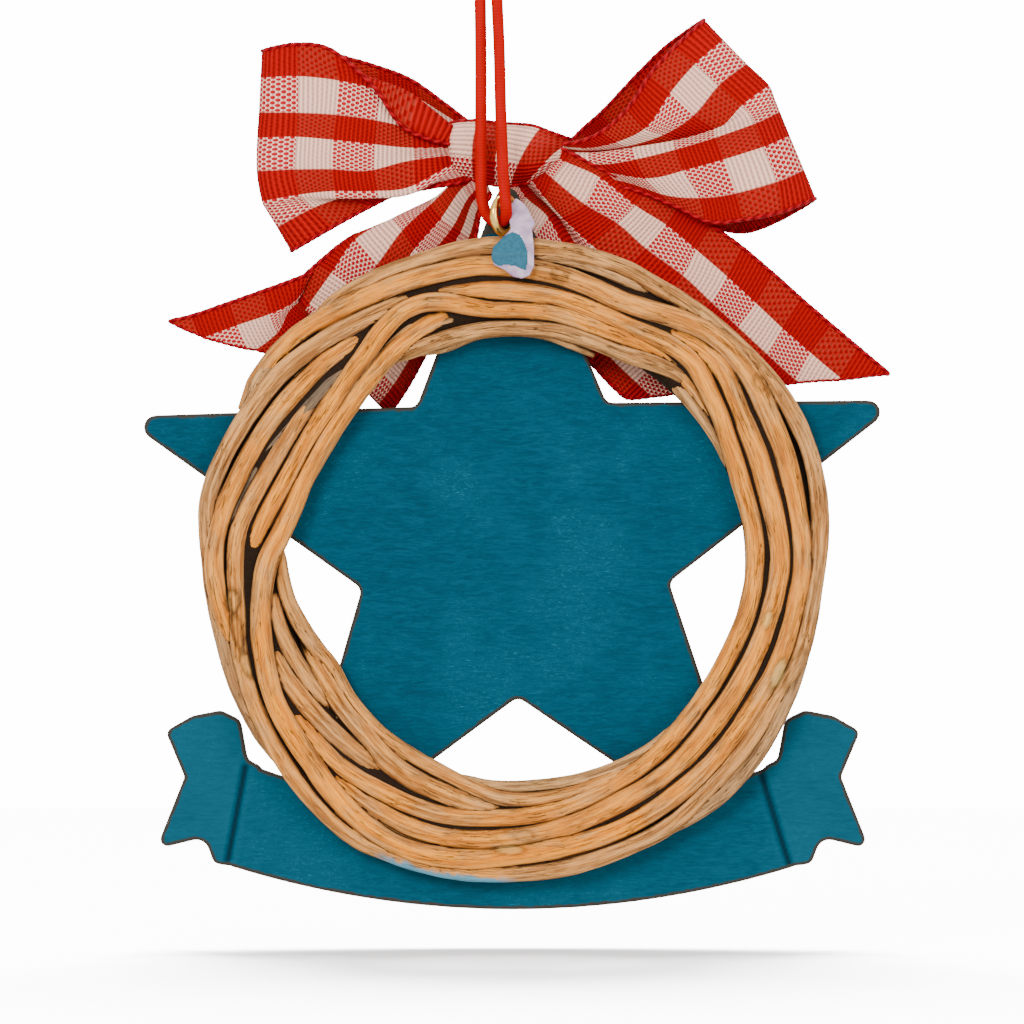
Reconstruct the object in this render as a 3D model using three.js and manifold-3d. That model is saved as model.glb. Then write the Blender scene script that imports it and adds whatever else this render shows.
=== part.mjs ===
// Star wreath ornament: a cast vine wreath with a star and a scroll banner,
// hung on a red cord through a small ring, with a tied gingham ribbon bow.
// Millimetres. +Z is up, the hanging point is the origin, and the back of the
// ornament, the vine side, faces -Y.

import * as THREE from 'three';
import { mergeVertices } from 'three/addons/utils/BufferGeometryUtils.js';
import Module from 'manifold-3d';

const wasm = await Module();
wasm.setup();

// Wreath
const hangDrop = 77.9;            // from the hanging point down to the wreath's centre
const wreathX = 3.3;              // the wreath's centre, sideways of the hanging point
const bundleMid = 34.0;           // middle radius of the bundle of vines
const bundleHalfWidth = 7.4;      // reach of the outermost vine centre from the middle
const crownDepth = 3.0;           // how far a vine on the bundle's crown stands off its middle
const crownFall = 0.72;           // how much lower a vine lies towards the rims
const coreHalfWidth = 4.6;
const coreHalfDepth = 2.3;
const coreSteps = 24;
const vineSides = 6;
const vineStepDeg = 17;           // angle between two sections of a vine
const frontShrink = 0.93;         // the plainer front vines lie a little inside the back ones
const frontSides = 4;
const sectionReach = 1.06;        // lets a section's corners stand out to keep its area

// Star
const starRaise = 3.2;            // the star's centre above the wreath's
const starDrop = hangDrop - starRaise;
const starInner = 20.25;          // centre to the corners between the arms
const starTip = 51.6;             // centre to where an arm's straight edges would meet
const starTopTip = 46.1;          // the same for the shorter top arm behind the ring
const starLean = 1.2;             // degrees the star leans anticlockwise, seen from the back
const tipRound = 1.5;
const cornerRound = 1.1;
const plateBack = 1.5;            // depth of the star's and the banner's back face
const plateThick = 3.2;
const starRidge = 1.5;            // rise of the star's front from its edge to its centre
const starRim = 0.9;              // size of the raised front within the outline

// Banner
const bannerShift = -0.2;         // the banner's middle, sideways of the wreath's
const bannerMidX = wreathX + bannerShift;
const bannerFall = 43.6;          // from the wreath's centre down to the banner's lowest point
const bannerBottom = hangDrop + bannerFall;
const bannerCurve = 118.0;        // radius of the banner's long curved edges
const bannerHeight = 12.2;
const bannerHalf = 35.0;          // from its middle out to the centre panel's lower corners
const bannerLeftX = bannerMidX - bannerHalf;
const bannerRightX = bannerMidX + bannerHalf;
const tailBack = 0.9;             // the folded ends lie a little nearer the back
const tailThick = 3.0;
const grooveWidth = 0.9;
const grooveDepth = 0.55;

// Ring, glue and cord
const ringShift = -1.2;           // the ring's centre, sideways of the wreath's
const ringX = wreathX + ringShift;
const ringRaise = 9.2;            // the ring's centre above the middle of the bundle
const ringDrop = hangDrop - bundleMid - ringRaise;
const ringY = -0.6;
const ringRadius = 2.2;           // to the middle of the wire
const ringWire = 1.1;             // wire diameter
const ringTurn = 52;              // degrees the ring is turned about the upright
const cordDiameter = 1.45;
const cordSides = 8;
const cordSteps = 42;
const clearance = 0.3;            // gap between pieces that touch
const glueThick = 3.5;
const glueBevel = 0.4;
const glueSlope = 0.42;           // the glue's back comes forward as it runs down
const glueSlopeRun = 7.0;
const glueTop = 2.2;              // top of the glue above the ring's centre
const glueNear = -2.1;            // depth of the glue's near face at its top
const cordKnotHalf = [2.3, 1.9, 1.9];

// Ribbon
const ribbonThick = 0.45;
const knotDepth = 3.4;            // half the depth of the bow's knot
const bowShift = -1.3;            // the bow's knot, sideways of the wreath's centre
const bowX = wreathX + bowShift;
const bowRaise = 17.7;            // the bow's knot above the middle of the bundle
const bowDrop = hangDrop - bundleMid - bowRaise;
const bowStandOff = 2.1;          // the knot's middle in front of the star's flat front
const bowY = plateBack + plateThick + bowStandOff;

// Colours
const paint = { vines: 0xb98a58, gold: 0xd9b45a, glue: 0xd9cfdc, ribbon: 0xd23a3a, cord: 0xd4101c };

// The vines that show on the back, each as [clock angle in degrees from the top,
// distance out from the bundle's middle, rise above or below the bundle's crown].
// The two ends dive under their neighbours.
const vines = {
  main: { wide: 2.6, route: [[-61, 4.6, -1.8], [-50, 4.8, -0.8], [-40, 4.5, -0.3], [-30, 3.8, 0],
    [-20, 2.9, 0.2], [-15, 2.4, 0.1], [-8, 2.9, 0], [0, 2.2, 0], [10, 2, 0], [20, 1.3, 0],
    [27, 1.2, 0.2], [35, 2.5, 0.4], [45, 3.6, 0.5], [55, 3.2, 0.3], [70, 2.1, 0], [85, 1.9, 0],
    [100, 1.6, 0], [125, 1, 0], [150, 1.6, 0], [170, 2.2, 0.1], [180, 3, 0.3], [190, 3.9, 0.5],
    [200, 4.4, 0.6], [210, 3.9, 0.6], [220, 2.7, 0.6], [230, 1.5, 0.6], [240, 0.6, 0.6],
    [250, -0.7, 0.6], [260, -1.8, 0.6], [270, -3, 0.6], [280, -5.2, 0.4], [290, -5.8, 0.1],
    [300, -5.9, 0], [310, -5.8, -0.1], [320, -4.9, -0.3], [330, -3.6, -0.4], [338, -2.1, -0.8],
    [346, -1.2, -1.8]] },
  second: { wide: 2.3, route: [[-17, 0.7, -1.8], [-10, 0.1, -0.2], [0, -0.4, 0], [10, -0.7, 0],
    [20, -1.3, 0], [30, -1.5, 0], [36, -1, 0.2], [42, -0.6, 0.4], [50, -1.6, 0.4], [60, -3.3, 0.2],
    [70, -3.9, 0], [85, -3.7, 0], [100, -3.9, 0], [112, -4.6, 0], [130, -4.7, 0], [145, -3.9, 0],
    [160, -3, 0], [180, -1.9, 0], [200, -1.1, 0], [220, -0.6, 0], [230, -0.7, -0.5],
    [240, -0.4, -1.9]] },
  third: { wide: 2.7, route: [[28, 0.2, -1.8], [35, 0.5, -0.8], [42, 1.2, -0.2], [50, 0.9, 0],
    [60, -0.3, 0], [72, -0.9, 0], [90, -0.9, 0], [105, -1.6, 0], [125, -2, 0], [145, -1.5, 0],
    [165, -0.6, 0], [180, 0.6, 0], [190, 1.2, 0], [200, 1.5, -0.1], [212, 1.1, -0.5],
    [226, 1, -1.9]] },
  outer: { wide: 2.4, route: [[-40, 5.2, -1.8], [-30, 5.3, -0.6], [-20, 5.2, 0], [-8, 5.6, 0],
    [10, 5.2, 0], [22, 5, 0], [32, 4.5, -0.2], [40, 4.8, -0.6], [50, 5.2, -0.3], [66, 5.3, 0],
    [80, 4.7, 0], [92, 3.8, 0], [108, 3.3, 0], [122, 2.8, 0], [135, 3.2, 0], [150, 4.1, 0],
    [170, 4.6, 0], [185, 5.2, 0], [200, 6, 0], [210, 5.9, 0], [220, 5.2, 0], [230, 4, 0],
    [240, 3.2, 0], [250, 2.1, 0], [260, 1.2, 0], [270, 0.9, 0], [280, 0.1, 0], [290, -1.3, -0.1],
    [300, -1.7, -0.4], [310, -1.7, -1], [319, -1.5, -1.9]] },
  crest: { wide: 2.5, route: [[-94, -1, -1.8], [-88, -1.4, -0.7], [-80, -2.8, 0], [-70, -3.7, 0],
    [-60, -3.9, 0], [-50, -3.6, 0.1], [-40, -2.9, 0.3], [-34, -1.8, 0.5], [-27, -0.3, 0.6],
    [-20, 0.1, 0.7], [-14, -0.8, 0.6], [-6, -2.4, 0.3], [2, -2.8, 0], [10, -2.7, 0], [20, -3.1, 0],
    [30, -3.1, -0.5], [40, -2.8, -1.2], [50, -3.2, -0.9], [60, -3.6, -1.9]] },
  inner: { wide: 2.1, route: [[-32, -4.4, -1.6], [-24, -4.7, -0.3], [-10, -4.8, 0], [5, -4.9, 0],
    [20, -5.1, 0], [28, -4.9, 0], [35, -4, 0], [41, -3, -0.5], [48, -2.4, -1.8]] },
  hook: { wide: 2.8, route: [[250, 2.6, -1.9], [257, 3.1, -0.4], [264, 3.4, 0.3], [272, 3.5, 0.4],
    [280, 2.6, 0.3], [290, 1.9, 0.1], [300, 1, 0], [310, 0.4, 0], [320, -0.1, -0.2],
    [327, -0.4, -1], [334, -0.4, -2]] },
  shoulder: { wide: 2.9, route: [[226, 4.7, -1.6], [233, 4.6, -0.4], [245, 4.3, -0.4],
    [258, 4.3, -1.1], [266, 4.8, -0.6], [273, 5.1, 0], [282, 4.9, 0.1], [292, 4.3, 0.3],
    [302, 3.7, 0.3], [312, 3.1, 0.3], [322, 2.1, 0.2], [331, 1.3, -0.3], [340, 1.2, -1.7]] },
  lowLeft: { wide: 2.4, route: [[178, -3.4, -1.8], [185, -3.2, -0.5], [195, -3.6, 0], [206, -4.1, 0],
    [213, -4.8, 0.1], [220, -5.6, 0], [230, -5.8, 0], [238, -6.1, -0.3], [248, -5.4, -1.7]] },
  middleLeft: { wide: 2.3, route: [[206, -2.2, -1.7], [213, -2.7, -0.4], [220, -3.2, 0],
    [228, -2.9, 0], [236, -2.2, -0.1], [247, -1.8, -1.8]] },
  slipLeft: { wide: 2.3, route: [[228, -5.4, -1.6], [235, -4.8, -0.3], [243, -4.2, 0],
    [252, -3.7, -0.1], [266, -3.2, -1.8]] },
  innerLeft: { wide: 2.1, route: [[144, -4.4, -1.6], [152, -4.4, -0.4], [165, -4.5, -0.1],
    [176, -4.1, 0], [184, -4.6, 0], [192, -5.4, 0], [203, -6.1, 0], [215, -6.6, 0], [230, -7.2, 0],
    [242, -7.2, 0], [250, -6.5, 0], [260, -5.5, 0], [268, -4.8, -0.4], [276, -4.2, -1.7]] },
  innerLow: { wide: 1.9, route: [[132, -5.1, -1.4], [142, -5.2, -0.4], [155, -5.5, 0],
    [172, -5.8, 0], [188, -6.1, -0.3], [200, -6.4, -1.4]] },
  outerRight: { wide: 2.2, route: [[98, 4.3, -1.7], [110, 4.2, -0.5], [122, 4.4, 0],
    [132, 5, 0], [142, 5.1, -0.1], [158, 4.8, -1.7]] },
  sunken: { wide: 2.2, route: [[268, 1.8, -1.9], [277, 1.9, -0.9], [286, 0.9, -0.8],
    [300, -0.5, -0.9], [316, -1.4, -2]] },
};

// Three of them come round again on the front, mirrored.
const frontVines = ['main', 'second', 'outer'];

function toManifold(geometry) {
  const bare = geometry.clone();
  bare.deleteAttribute('normal');
  bare.deleteAttribute('uv');
  const merged = mergeVertices(bare, 1e-4);
  return new wasm.Manifold(new wasm.Mesh({
    numProp: 3,
    vertProperties: new Float32Array(merged.attributes.position.array),
    triVerts: new Uint32Array(merged.index.array),
  }));
}

// The largest closed skin of a solid, without sealed pockets or loose slivers.
function outerSkin(solid) {
  return solid.decompose().reduce((best, next) => (next.volume() > best.volume() ? next : best));
}

function toGeometry(solid) {
  const mesh = solid.getMesh();
  const geometry = new THREE.BufferGeometry();
  geometry.setAttribute('position', new THREE.BufferAttribute(new Float32Array(mesh.vertProperties), 3));
  geometry.setIndex(new THREE.BufferAttribute(new Uint32Array(mesh.triVerts), 1));
  geometry.computeVertexNormals();
  return geometry;
}

function piece(name, geometry, color, roughness, metalness = 0) {
  const mesh = new THREE.Mesh(geometry, new THREE.MeshStandardMaterial({ color, roughness, metalness }));
  mesh.name = name;
  return mesh;
}

// A polygon with every corner rounded, as a THREE.Shape in the X-Z plane. A corner
// keeps three points of its arc: where it starts, its middle and where it ends.
function roundedShape(points) {
  const shape = new THREE.Shape();
  points.forEach(([x, z, round], i) => {
    const here = new THREE.Vector2(x, z);
    const [px, pz] = points[(i + points.length - 1) % points.length];
    const [nx, nz] = points[(i + 1) % points.length];
    const back = new THREE.Vector2(px, pz).sub(here);
    const on = new THREE.Vector2(nx, nz).sub(here);
    const half = back.angleTo(on) / 2;
    const turn = half > Math.PI / 2 ? Math.PI - half : half;
    const cut = Math.min(round / Math.tan(turn), back.length() / 2.05, on.length() / 2.05);
    const radius = cut * Math.tan(turn);
    const inward = back.clone().normalize().add(on.clone().normalize()).normalize();
    const start = here.clone().add(back.normalize().multiplyScalar(cut));
    const middle = here.clone().add(inward.multiplyScalar(radius / Math.sin(turn) - radius));
    const end = here.clone().add(on.normalize().multiplyScalar(cut));
    if (i === 0) shape.moveTo(start.x, start.y);
    else shape.lineTo(start.x, start.y);
    shape.lineTo(middle.x, middle.y);
    shape.lineTo(end.x, end.y);
  });
  shape.closePath();
  return shape;
}

// Thickness runs along +Y from the back face, with a small bevel all round.
function plate(shape, back, thick, bevel, curveSegments = 3) {
  const geometry = new THREE.ExtrudeGeometry(shape, {
    depth: thick - 2 * bevel, bevelEnabled: true, bevelThickness: bevel, bevelSize: bevel,
    bevelOffset: -bevel, bevelSegments: 1, curveSegments,
  });
  geometry.rotateX(Math.PI / 2);
  geometry.translate(0, back + thick - bevel, 0);
  return geometry;
}

function onClock(angle, radius) {
  const turn = THREE.MathUtils.degToRad(angle);
  return [wreathX + radius * Math.sin(turn), -hangDrop + radius * Math.cos(turn)];
}

// A vine lies on the rounded back of the bundle, lower towards its rims.
function crownHeight(out) {
  const across = Math.min(Math.abs(out) / bundleHalfWidth, 1);
  return crownDepth * Math.sqrt(1 - crownFall * across * across);
}

function vineTube({ wide, route }, sides, mirrored) {
  const points = route.map(([angle, out, rise]) => {
    const radius = bundleMid + out * (mirrored ? frontShrink : 1);
    const [x, z] = onClock(mirrored ? -angle : angle, radius);
    const height = crownHeight(out) - wide / 2 + rise;
    return new THREE.Vector3(x, mirrored ? height : -height, z);
  });
  const curve = new THREE.CatmullRomCurve3(points, false, 'centripetal');
  const sweep = route[route.length - 1][0] - route[0][0];
  const section = new THREE.Shape();
  for (let i = 0; i < sides; i += 1) {
    const turn = ((i + 0.5) / sides) * 2 * Math.PI;
    const reach = (wide / 2) * sectionReach;
    section[i ? 'lineTo' : 'moveTo'](reach * Math.cos(turn), reach * Math.sin(turn));
  }
  section.closePath();
  return new THREE.ExtrudeGeometry(section, {
    steps: Math.max(4, Math.round(sweep / vineStepDeg)), extrudePath: curve,
  });
}

// The solid middle of the casting, which closes the grooves between the vines.
function bundleCore() {
  const profile = [];
  const sides = 8;
  for (let i = 0; i <= sides; i += 1) {
    const turn = (i / sides) * 2 * Math.PI;
    profile.push(new THREE.Vector2(
      bundleMid + coreHalfWidth * Math.cos(turn), coreHalfDepth * Math.sin(turn)));
  }
  const geometry = new THREE.LatheGeometry(profile, coreSteps);
  geometry.translate(wreathX, 0, -hangDrop);
  return geometry;
}

function starPoints() {
  const points = [];
  for (let arm = 0; arm < 5; arm += 1) {
    const reach = arm === 0 ? starTopTip : starTip;
    const tip = THREE.MathUtils.degToRad(arm * 72 - starLean);
    const corner = THREE.MathUtils.degToRad(arm * 72 + 36 - starLean);
    points.push([wreathX + reach * Math.sin(tip), -starDrop + reach * Math.cos(tip), tipRound]);
    points.push([wreathX + starInner * Math.sin(corner), -starDrop + starInner * Math.cos(corner),
      cornerRound]);
  }
  return points;
}

// The star's front rises in ten plain facets from its outline to its centre.
function starFront() {
  const base = starPoints().map(([x, z]) => new THREE.Vector2(
    wreathX + (x - wreathX) * starRim, -starDrop + (z + starDrop) * starRim));
  const front = plateBack + plateThick;
  const sunk = front - 1;
  const positions = [];
  const put = (...corners) => corners.forEach((c) => positions.push(c[0], c[1], c[2]));
  const top = [wreathX, front + starRidge, -starDrop];
  const bottom = [wreathX, sunk, -starDrop];
  base.forEach((here, i) => {
    const next = base[(i + 1) % base.length];
    const a = [here.x, front, here.y];
    const b = [next.x, front, next.y];
    const c = [here.x, sunk, here.y];
    const d = [next.x, sunk, next.y];
    put(top, a, b);
    put(bottom, d, c);
    put(a, c, d);
    put(a, d, b);
  });
  const geometry = new THREE.BufferGeometry();
  geometry.setAttribute('position', new THREE.BufferAttribute(new Float32Array(positions), 3));
  const merged = mergeVertices(geometry, 1e-4);
  merged.computeVertexNormals();
  return merged;
}

// Height of the banner's lower edge at a place along it.
function bannerEdge(x) {
  const across = x - bannerMidX;
  return -bannerBottom + bannerCurve - Math.sqrt(bannerCurve ** 2 - across ** 2);
}

function bannerPanel() {
  const steps = 10;
  const shape = new THREE.Shape();
  const low = [];
  const high = [];
  for (let i = 0; i <= steps; i += 1) {
    const x = bannerLeftX + ((bannerRightX - bannerLeftX) * i) / steps;
    const lean = (x - bannerMidX) / bannerCurve;
    low.push([x, bannerEdge(x)]);
    high.push([x - lean * bannerHeight, bannerEdge(x) + bannerHeight]);
  }
  [...low, ...high.reverse()].forEach(([x, z], i) => shape[i ? 'lineTo' : 'moveTo'](x, z));
  shape.closePath();
  return plate(shape, plateBack, plateThick, 0.35);
}

// A folded, notched end of the banner. side is -1 on the left and 1 on the right.
// Each corner is [out from the panel's lower corner, up from it, rounding].
function bannerTail(side) {
  const inner = side < 0 ? bannerLeftX : bannerRightX;
  const foot = bannerEdge(inner);
  const corners = [
    [-3.4, bannerHeight + 0.4, 0.3], [-1.8, bannerHeight + 1.2, 1], [-0.9, bannerHeight + 6.2, 1.4],
    [1.6, bannerHeight + 7.4, 1.4], [5.2, bannerHeight + 6.7, 2], [8.5, bannerHeight + 4.8, 0.9],
    [6.1, bannerHeight - 0.9, 0.5], [9.7, 2.2, 0.9],
    [3.6, 3.7, 1.6], [2.4, 0.4, 1.2], [0, 0.1, 0.6], [-2.6, 1.2, 0.5],
  ];
  const points = corners.map(([out, up, round]) => [inner + side * out, foot + up, round]);
  if (side > 0) points.reverse();
  return plate(roundedShape(points), tailBack, tailThick, 0.25, 2);
}

// The V groove where a tail folds behind the panel.
function bannerGroove(side) {
  const inner = side < 0 ? bannerLeftX : bannerRightX;
  const foot = bannerEdge(inner);
  const lean = Math.atan2(inner - bannerMidX, bannerCurve);
  const cutter = new THREE.CylinderGeometry(grooveWidth, grooveWidth, bannerHeight * 1.1, 4);
  cutter.rotateX(Math.PI / 2);
  cutter.scale(0.6, 1, 1);
  cutter.rotateY(-lean);
  cutter.translate(inner - Math.sin(lean) * bannerHeight * 0.5, tailBack - grooveWidth + grooveDepth,
    foot + bannerHeight * 0.5);
  return cutter;
}

function ring(wire) {
  const geometry = new THREE.TorusGeometry(ringRadius, wire / 2, 6, 18);
  geometry.rotateX(Math.PI / 2);
  geometry.rotateZ(THREE.MathUtils.degToRad(ringTurn));
  geometry.translate(ringX, ringY, -ringDrop);
  return geometry;
}

// The dab of glue that holds the ring to the back of the wreath.
function glueDab() {
  const outline = [
    [1.3, 2.2], [2.8, 0.9], [3.8, -1], [3.5, -3.5], [3.6, -6.4], [2.2, -8.1], [0.3, -7.3],
    [-1.7, -5.3], [0.3, -2.7], [0.9, 0.1],
  ].map(([x, z]) => new THREE.Vector2(ringX + x, z - ringDrop));
  const shape = new THREE.Shape();
  shape.moveTo(outline[0].x, outline[0].y);
  shape.splineThru([...outline.slice(1), outline[0]]);
  const geometry = plate(shape, 0, glueThick, glueBevel, 2);
  const place = geometry.attributes.position;
  for (let i = 0; i < place.count; i += 1) {
    const below = Math.min(Math.max(glueTop - ringDrop - place.getZ(i), 0), glueSlopeRun);
    place.setY(i, place.getY(i) + glueNear - glueSlope * below);
  }
  return geometry;
}

// A strip of ribbon between two edge lines, each a list of [x, y, z].
function ribbonStrip(edgeA, edgeB, steps, bulge) {
  const lineA = new THREE.CatmullRomCurve3(edgeA.map((p) => new THREE.Vector3(...p)), false, 'centripetal');
  const lineB = new THREE.CatmullRomCurve3(edgeB.map((p) => new THREE.Vector3(...p)), false, 'centripetal');
  const rows = [];
  for (let i = 0; i <= steps; i += 1) {
    const a = lineA.getPoint(i / steps);
    const b = lineB.getPoint(i / steps);
    const middle = a.clone().lerp(b, 0.5);
    middle.y += bulge(i / steps);
    rows.push([a, middle, b]);
  }
  const skins = [[], []];
  rows.forEach((row, i) => {
    const ahead = rows[Math.min(i + 1, steps)];
    const behind = rows[Math.max(i - 1, 0)];
    const along = ahead[1].clone().sub(behind[1]);
    const normal = row[2].clone().sub(row[0]).cross(along).normalize().multiplyScalar(ribbonThick / 2);
    row.forEach((p) => {
      skins[0].push(p.clone().add(normal));
      skins[1].push(p.clone().sub(normal));
    });
  });
  const vertices = [...skins[0], ...skins[1]];
  const far = skins[0].length;
  const faces = [];
  const quad = (a, b, c, d) => faces.push(a, b, c, a, c, d);
  for (let i = 0; i < steps; i += 1) {
    for (let j = 0; j < 2; j += 1) {
      const at = i * 3 + j;
      quad(at, at + 1, at + 4, at + 3);
      quad(far + at, far + at + 3, far + at + 4, far + at + 1);
    }
    const edge = i * 3;
    quad(edge, edge + 3, far + edge + 3, far + edge);
    quad(edge + 2, far + edge + 2, far + edge + 5, edge + 5);
  }
  const last = steps * 3;
  for (let j = 0; j < 2; j += 1) {
    quad(j, far + j, far + j + 1, j + 1);
    quad(last + j + 1, far + last + j + 1, far + last + j, last + j);
  }
  const geometry = new THREE.BufferGeometry();
  geometry.setAttribute('position', new THREE.BufferAttribute(
    new Float32Array(vertices.flatMap((v) => [v.x, v.y, v.z])), 3));
  geometry.setIndex(faces);
  return geometry;
}

function ellipsoid(centre, halves, tilt) {
  const geometry = new THREE.SphereGeometry(1, 10, 6);
  geometry.scale(...halves);
  geometry.rotateY(THREE.MathUtils.degToRad(tilt));
  geometry.translate(...centre);
  return geometry;
}

// Both loops run out from the knot on the near side, turn at the fold and come
// back on the far side. Points are taken from the knot's middle.
function bow() {
  const leftLoop = ribbonStrip(
    [[-5.5, -1.8, 3.7], [-11.4, -2.8, 7], [-15.9, -3.4, 9.2], [-21.6, -3.6, 12.3], [-27, -2.8, 13.3],
      [-30.3, 0.6, 12.4], [-27, 4.2, 13.3], [-20.5, 5, 12.6], [-14.5, 4.2, 10], [-5.5, 2.2, 4.4]],
    [[-5.5, -1.8, -3.8], [-9.9, -2.2, -5.2], [-13, -2.6, -5.8], [-17.3, -2.4, -7.4], [-22.4, -1.2, -10.1],
      [-26.7, 1.4, -12.6], [-23, 4, -10.4], [-17.6, 4.8, -7.8], [-12.5, 4.2, -5.8], [-5.5, 2.2, -3.4]],
    18, () => 0);
  const rightLoop = ribbonStrip(
    [[7.5, -1.8, 0.6], [12.8, -2.4, 2.4], [15.9, -3, 5.4], [18.4, -3.4, 9.3], [21.5, -2.6, 12.8],
      [25, 0.8, 16.3], [20.5, 4.6, 13.3], [16.5, 5, 9.3], [12.6, 4.2, 5.2], [7.5, 2.2, 1]],
    [[7.5, -1.8, -1.6], [15.8, -2.2, -4.4], [22, -2.6, -7.2], [30.2, -2.2, -8.8], [35, -1.2, -7.8],
      [39.1, 1.4, -6.1], [34.5, 4.2, -8.4], [28, 4.8, -10.2], [18, 4.2, -6.8], [7.5, 2.2, -2.2]],
    18, () => 0);
  const leftTail = ribbonStrip(
    [[-3, -0.2, -2.4], [-10, -0.6, -6.8], [-18.2, -0.4, -10.8], [-24.2, 0, -15.8], [-32.8, -0.4, -18.7],
      [-42.2, -0.8, -21.5]],
    [[-1.4, 0.6, -4.8], [-2.8, 0.6, -9.4], [-6.6, 0.6, -17.4], [-9.8, 0.6, -25.2], [-12, 0.6, -29.8],
      [-13.8, 0.6, -33]],
    10, (t) => 0.8 * Math.sin(3 * Math.PI * t));
  const rightTail = ribbonStrip(
    [[6, -0.6, -0.8], [13.5, -1.2, -3.1], [19.4, -1, -5.6], [28, -0.6, -10.9], [37.6, -0.4, -19.1],
      [48.5, -0.8, -28.3]],
    [[1, 0.6, -4.8], [1.8, 0.6, -8.4], [4.6, 0.6, -14.4], [11.4, 0.6, -25.6], [15.8, 0.6, -31.8],
      [17.4, 0.6, -33.6]],
    10, (t) => 0.8 * Math.sin(3 * Math.PI * t));
  const solids = [leftLoop, rightLoop, leftTail, rightTail,
    ellipsoid([-4.8, 0, 0], [2.4, knotDepth, 4.6], 0),
    ellipsoid([2.6, 0, -0.2], [7.2, knotDepth + 0.6, 3.6], -24),
    ellipsoid([0.4, 1.8, -3], [4.2, knotDepth, 3], 0),
  ].map(toManifold);
  return solids.reduce((whole, next) => whole.add(next)).translate([bowX, bowY, -bowDrop]);
}

// The cord hangs in two strands from its knot and turns under the ring's near wire.
const cordRoute = [
  [-1.1, 0.4, 0.7], [-1, 0.4, -6], [-0.9, 0.4, -14], [-0.9, 0.35, -22], [-0.9, 0.3, -28],
  [-0.85, 0.3, -31.6], [-0.6, 0.35, -33.4], [0, 0.3, -34.8], [0.9, 0, -35.5], [1.7, -0.8, -35.5],
  [2.2, -1.9, -35], [2.3, -2.8, -34], [2.15, -2.95, -32.8], [2, -2.5, -31.3], [1.85, -1.8, -28.5],
  [1.6, -0.9, -22], [1.4, -0.2, -14], [1.1, 0, -7], [0.9, 0.1, 0.7],
];

function cordTube() {
  const curve = new THREE.CatmullRomCurve3(
    cordRoute.map((p) => new THREE.Vector3(...p)), false, 'centripetal');
  const section = new THREE.Shape();
  section.absarc(0, 0, cordDiameter / 2, 0, 2 * Math.PI);
  return new THREE.ExtrudeGeometry(section, {
    steps: cordSteps, extrudePath: curve, curveSegments: cordSides / 2,
  });
}

function cordKnot() {
  const [x, y, end] = cordRoute[0];
  return ellipsoid([x + 1, y, end + clearance + cordKnotHalf[2]], cordKnotHalf, 0);
}

function casting() {
  const backVines = Object.values(vines).map((vine) => vineTube(vine, vineSides, false));
  const front = frontVines.map((name) => vineTube(vines[name], frontSides, true));
  const plates = [plate(roundedShape(starPoints()), plateBack, plateThick, 0.4, 2), starFront(),
    bannerPanel(), bannerTail(-1), bannerTail(1)];
  const grooves = [bannerGroove(-1), bannerGroove(1)].map(toManifold);
  const vineWork = [bundleCore(), ...backVines, ...front].map(toManifold)
    .reduce((sum, next) => sum.add(next));
  const plateWork = plates.map(toManifold).reduce((sum, next) => sum.add(next));
  return grooves.reduce((sum, groove) => sum.subtract(groove), plateWork).add(vineWork);
}

// The same shape moved towards the back, to leave a gap under what lies on it.
function shifted(solid, back) {
  const geometry = toGeometry(solid);
  geometry.translate(0, -back, 0);
  return toManifold(geometry);
}

const castSolid = outerSkin(casting().subtract(toManifold(ring(ringWire + 2 * clearance))));
const bowSolid = bow();
const glueSolid = outerSkin(toManifold(glueDab())
  .subtract(castSolid.add(shifted(castSolid, clearance)))
  .subtract(toManifold(ring(ringWire + 2 * clearance))));

const group = new THREE.Group();
group.add(piece('wreath_star_casting', toGeometry(castSolid), paint.vines, 0.75));
group.add(piece('jump_ring', ring(ringWire), paint.gold, 0.25, 1));
group.add(piece('glue_dab', toGeometry(glueSolid), paint.glue, 0.35));
group.add(piece('ribbon_bow', toGeometry(bowSolid), paint.ribbon, 0.8));
group.add(piece('hanging_cord', cordTube(), paint.cord, 0.5));
group.add(piece('cord_knot', cordKnot(), paint.cord, 0.5));

export default group;
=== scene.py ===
import math
import bpy
import bmesh
from mathutils import Matrix, Vector, noise
from mathutils.bvhtree import BVHTree
from mathutils.kdtree import KDTree


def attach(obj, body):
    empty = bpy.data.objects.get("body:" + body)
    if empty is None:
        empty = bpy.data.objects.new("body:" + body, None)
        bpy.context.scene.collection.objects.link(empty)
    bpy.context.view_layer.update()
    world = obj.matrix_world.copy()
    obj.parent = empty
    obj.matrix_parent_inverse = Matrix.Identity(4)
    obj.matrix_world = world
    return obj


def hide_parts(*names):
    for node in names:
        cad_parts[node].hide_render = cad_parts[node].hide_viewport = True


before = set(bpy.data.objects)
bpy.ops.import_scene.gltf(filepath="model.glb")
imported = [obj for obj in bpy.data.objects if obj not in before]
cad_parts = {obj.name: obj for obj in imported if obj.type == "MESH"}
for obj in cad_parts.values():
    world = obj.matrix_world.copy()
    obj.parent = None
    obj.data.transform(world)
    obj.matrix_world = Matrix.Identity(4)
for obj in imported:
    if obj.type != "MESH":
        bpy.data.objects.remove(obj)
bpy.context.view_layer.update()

# Lengths are in millimetres until a mesh is written, and in metres from there on.
# Some shapes are placed by the picture they were measured on, in its pixels.
MM = 0.001
PIXEL = 0.125
PICTURE_X = 488
PICTURE_TOP = 62


def spot(column, row, depth=0.0):
    """A place in the picture, as millimetres in the frame."""
    return Vector(((column - PICTURE_X) * PIXEL, depth, -(row + PICTURE_TOP) * PIXEL))


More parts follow.
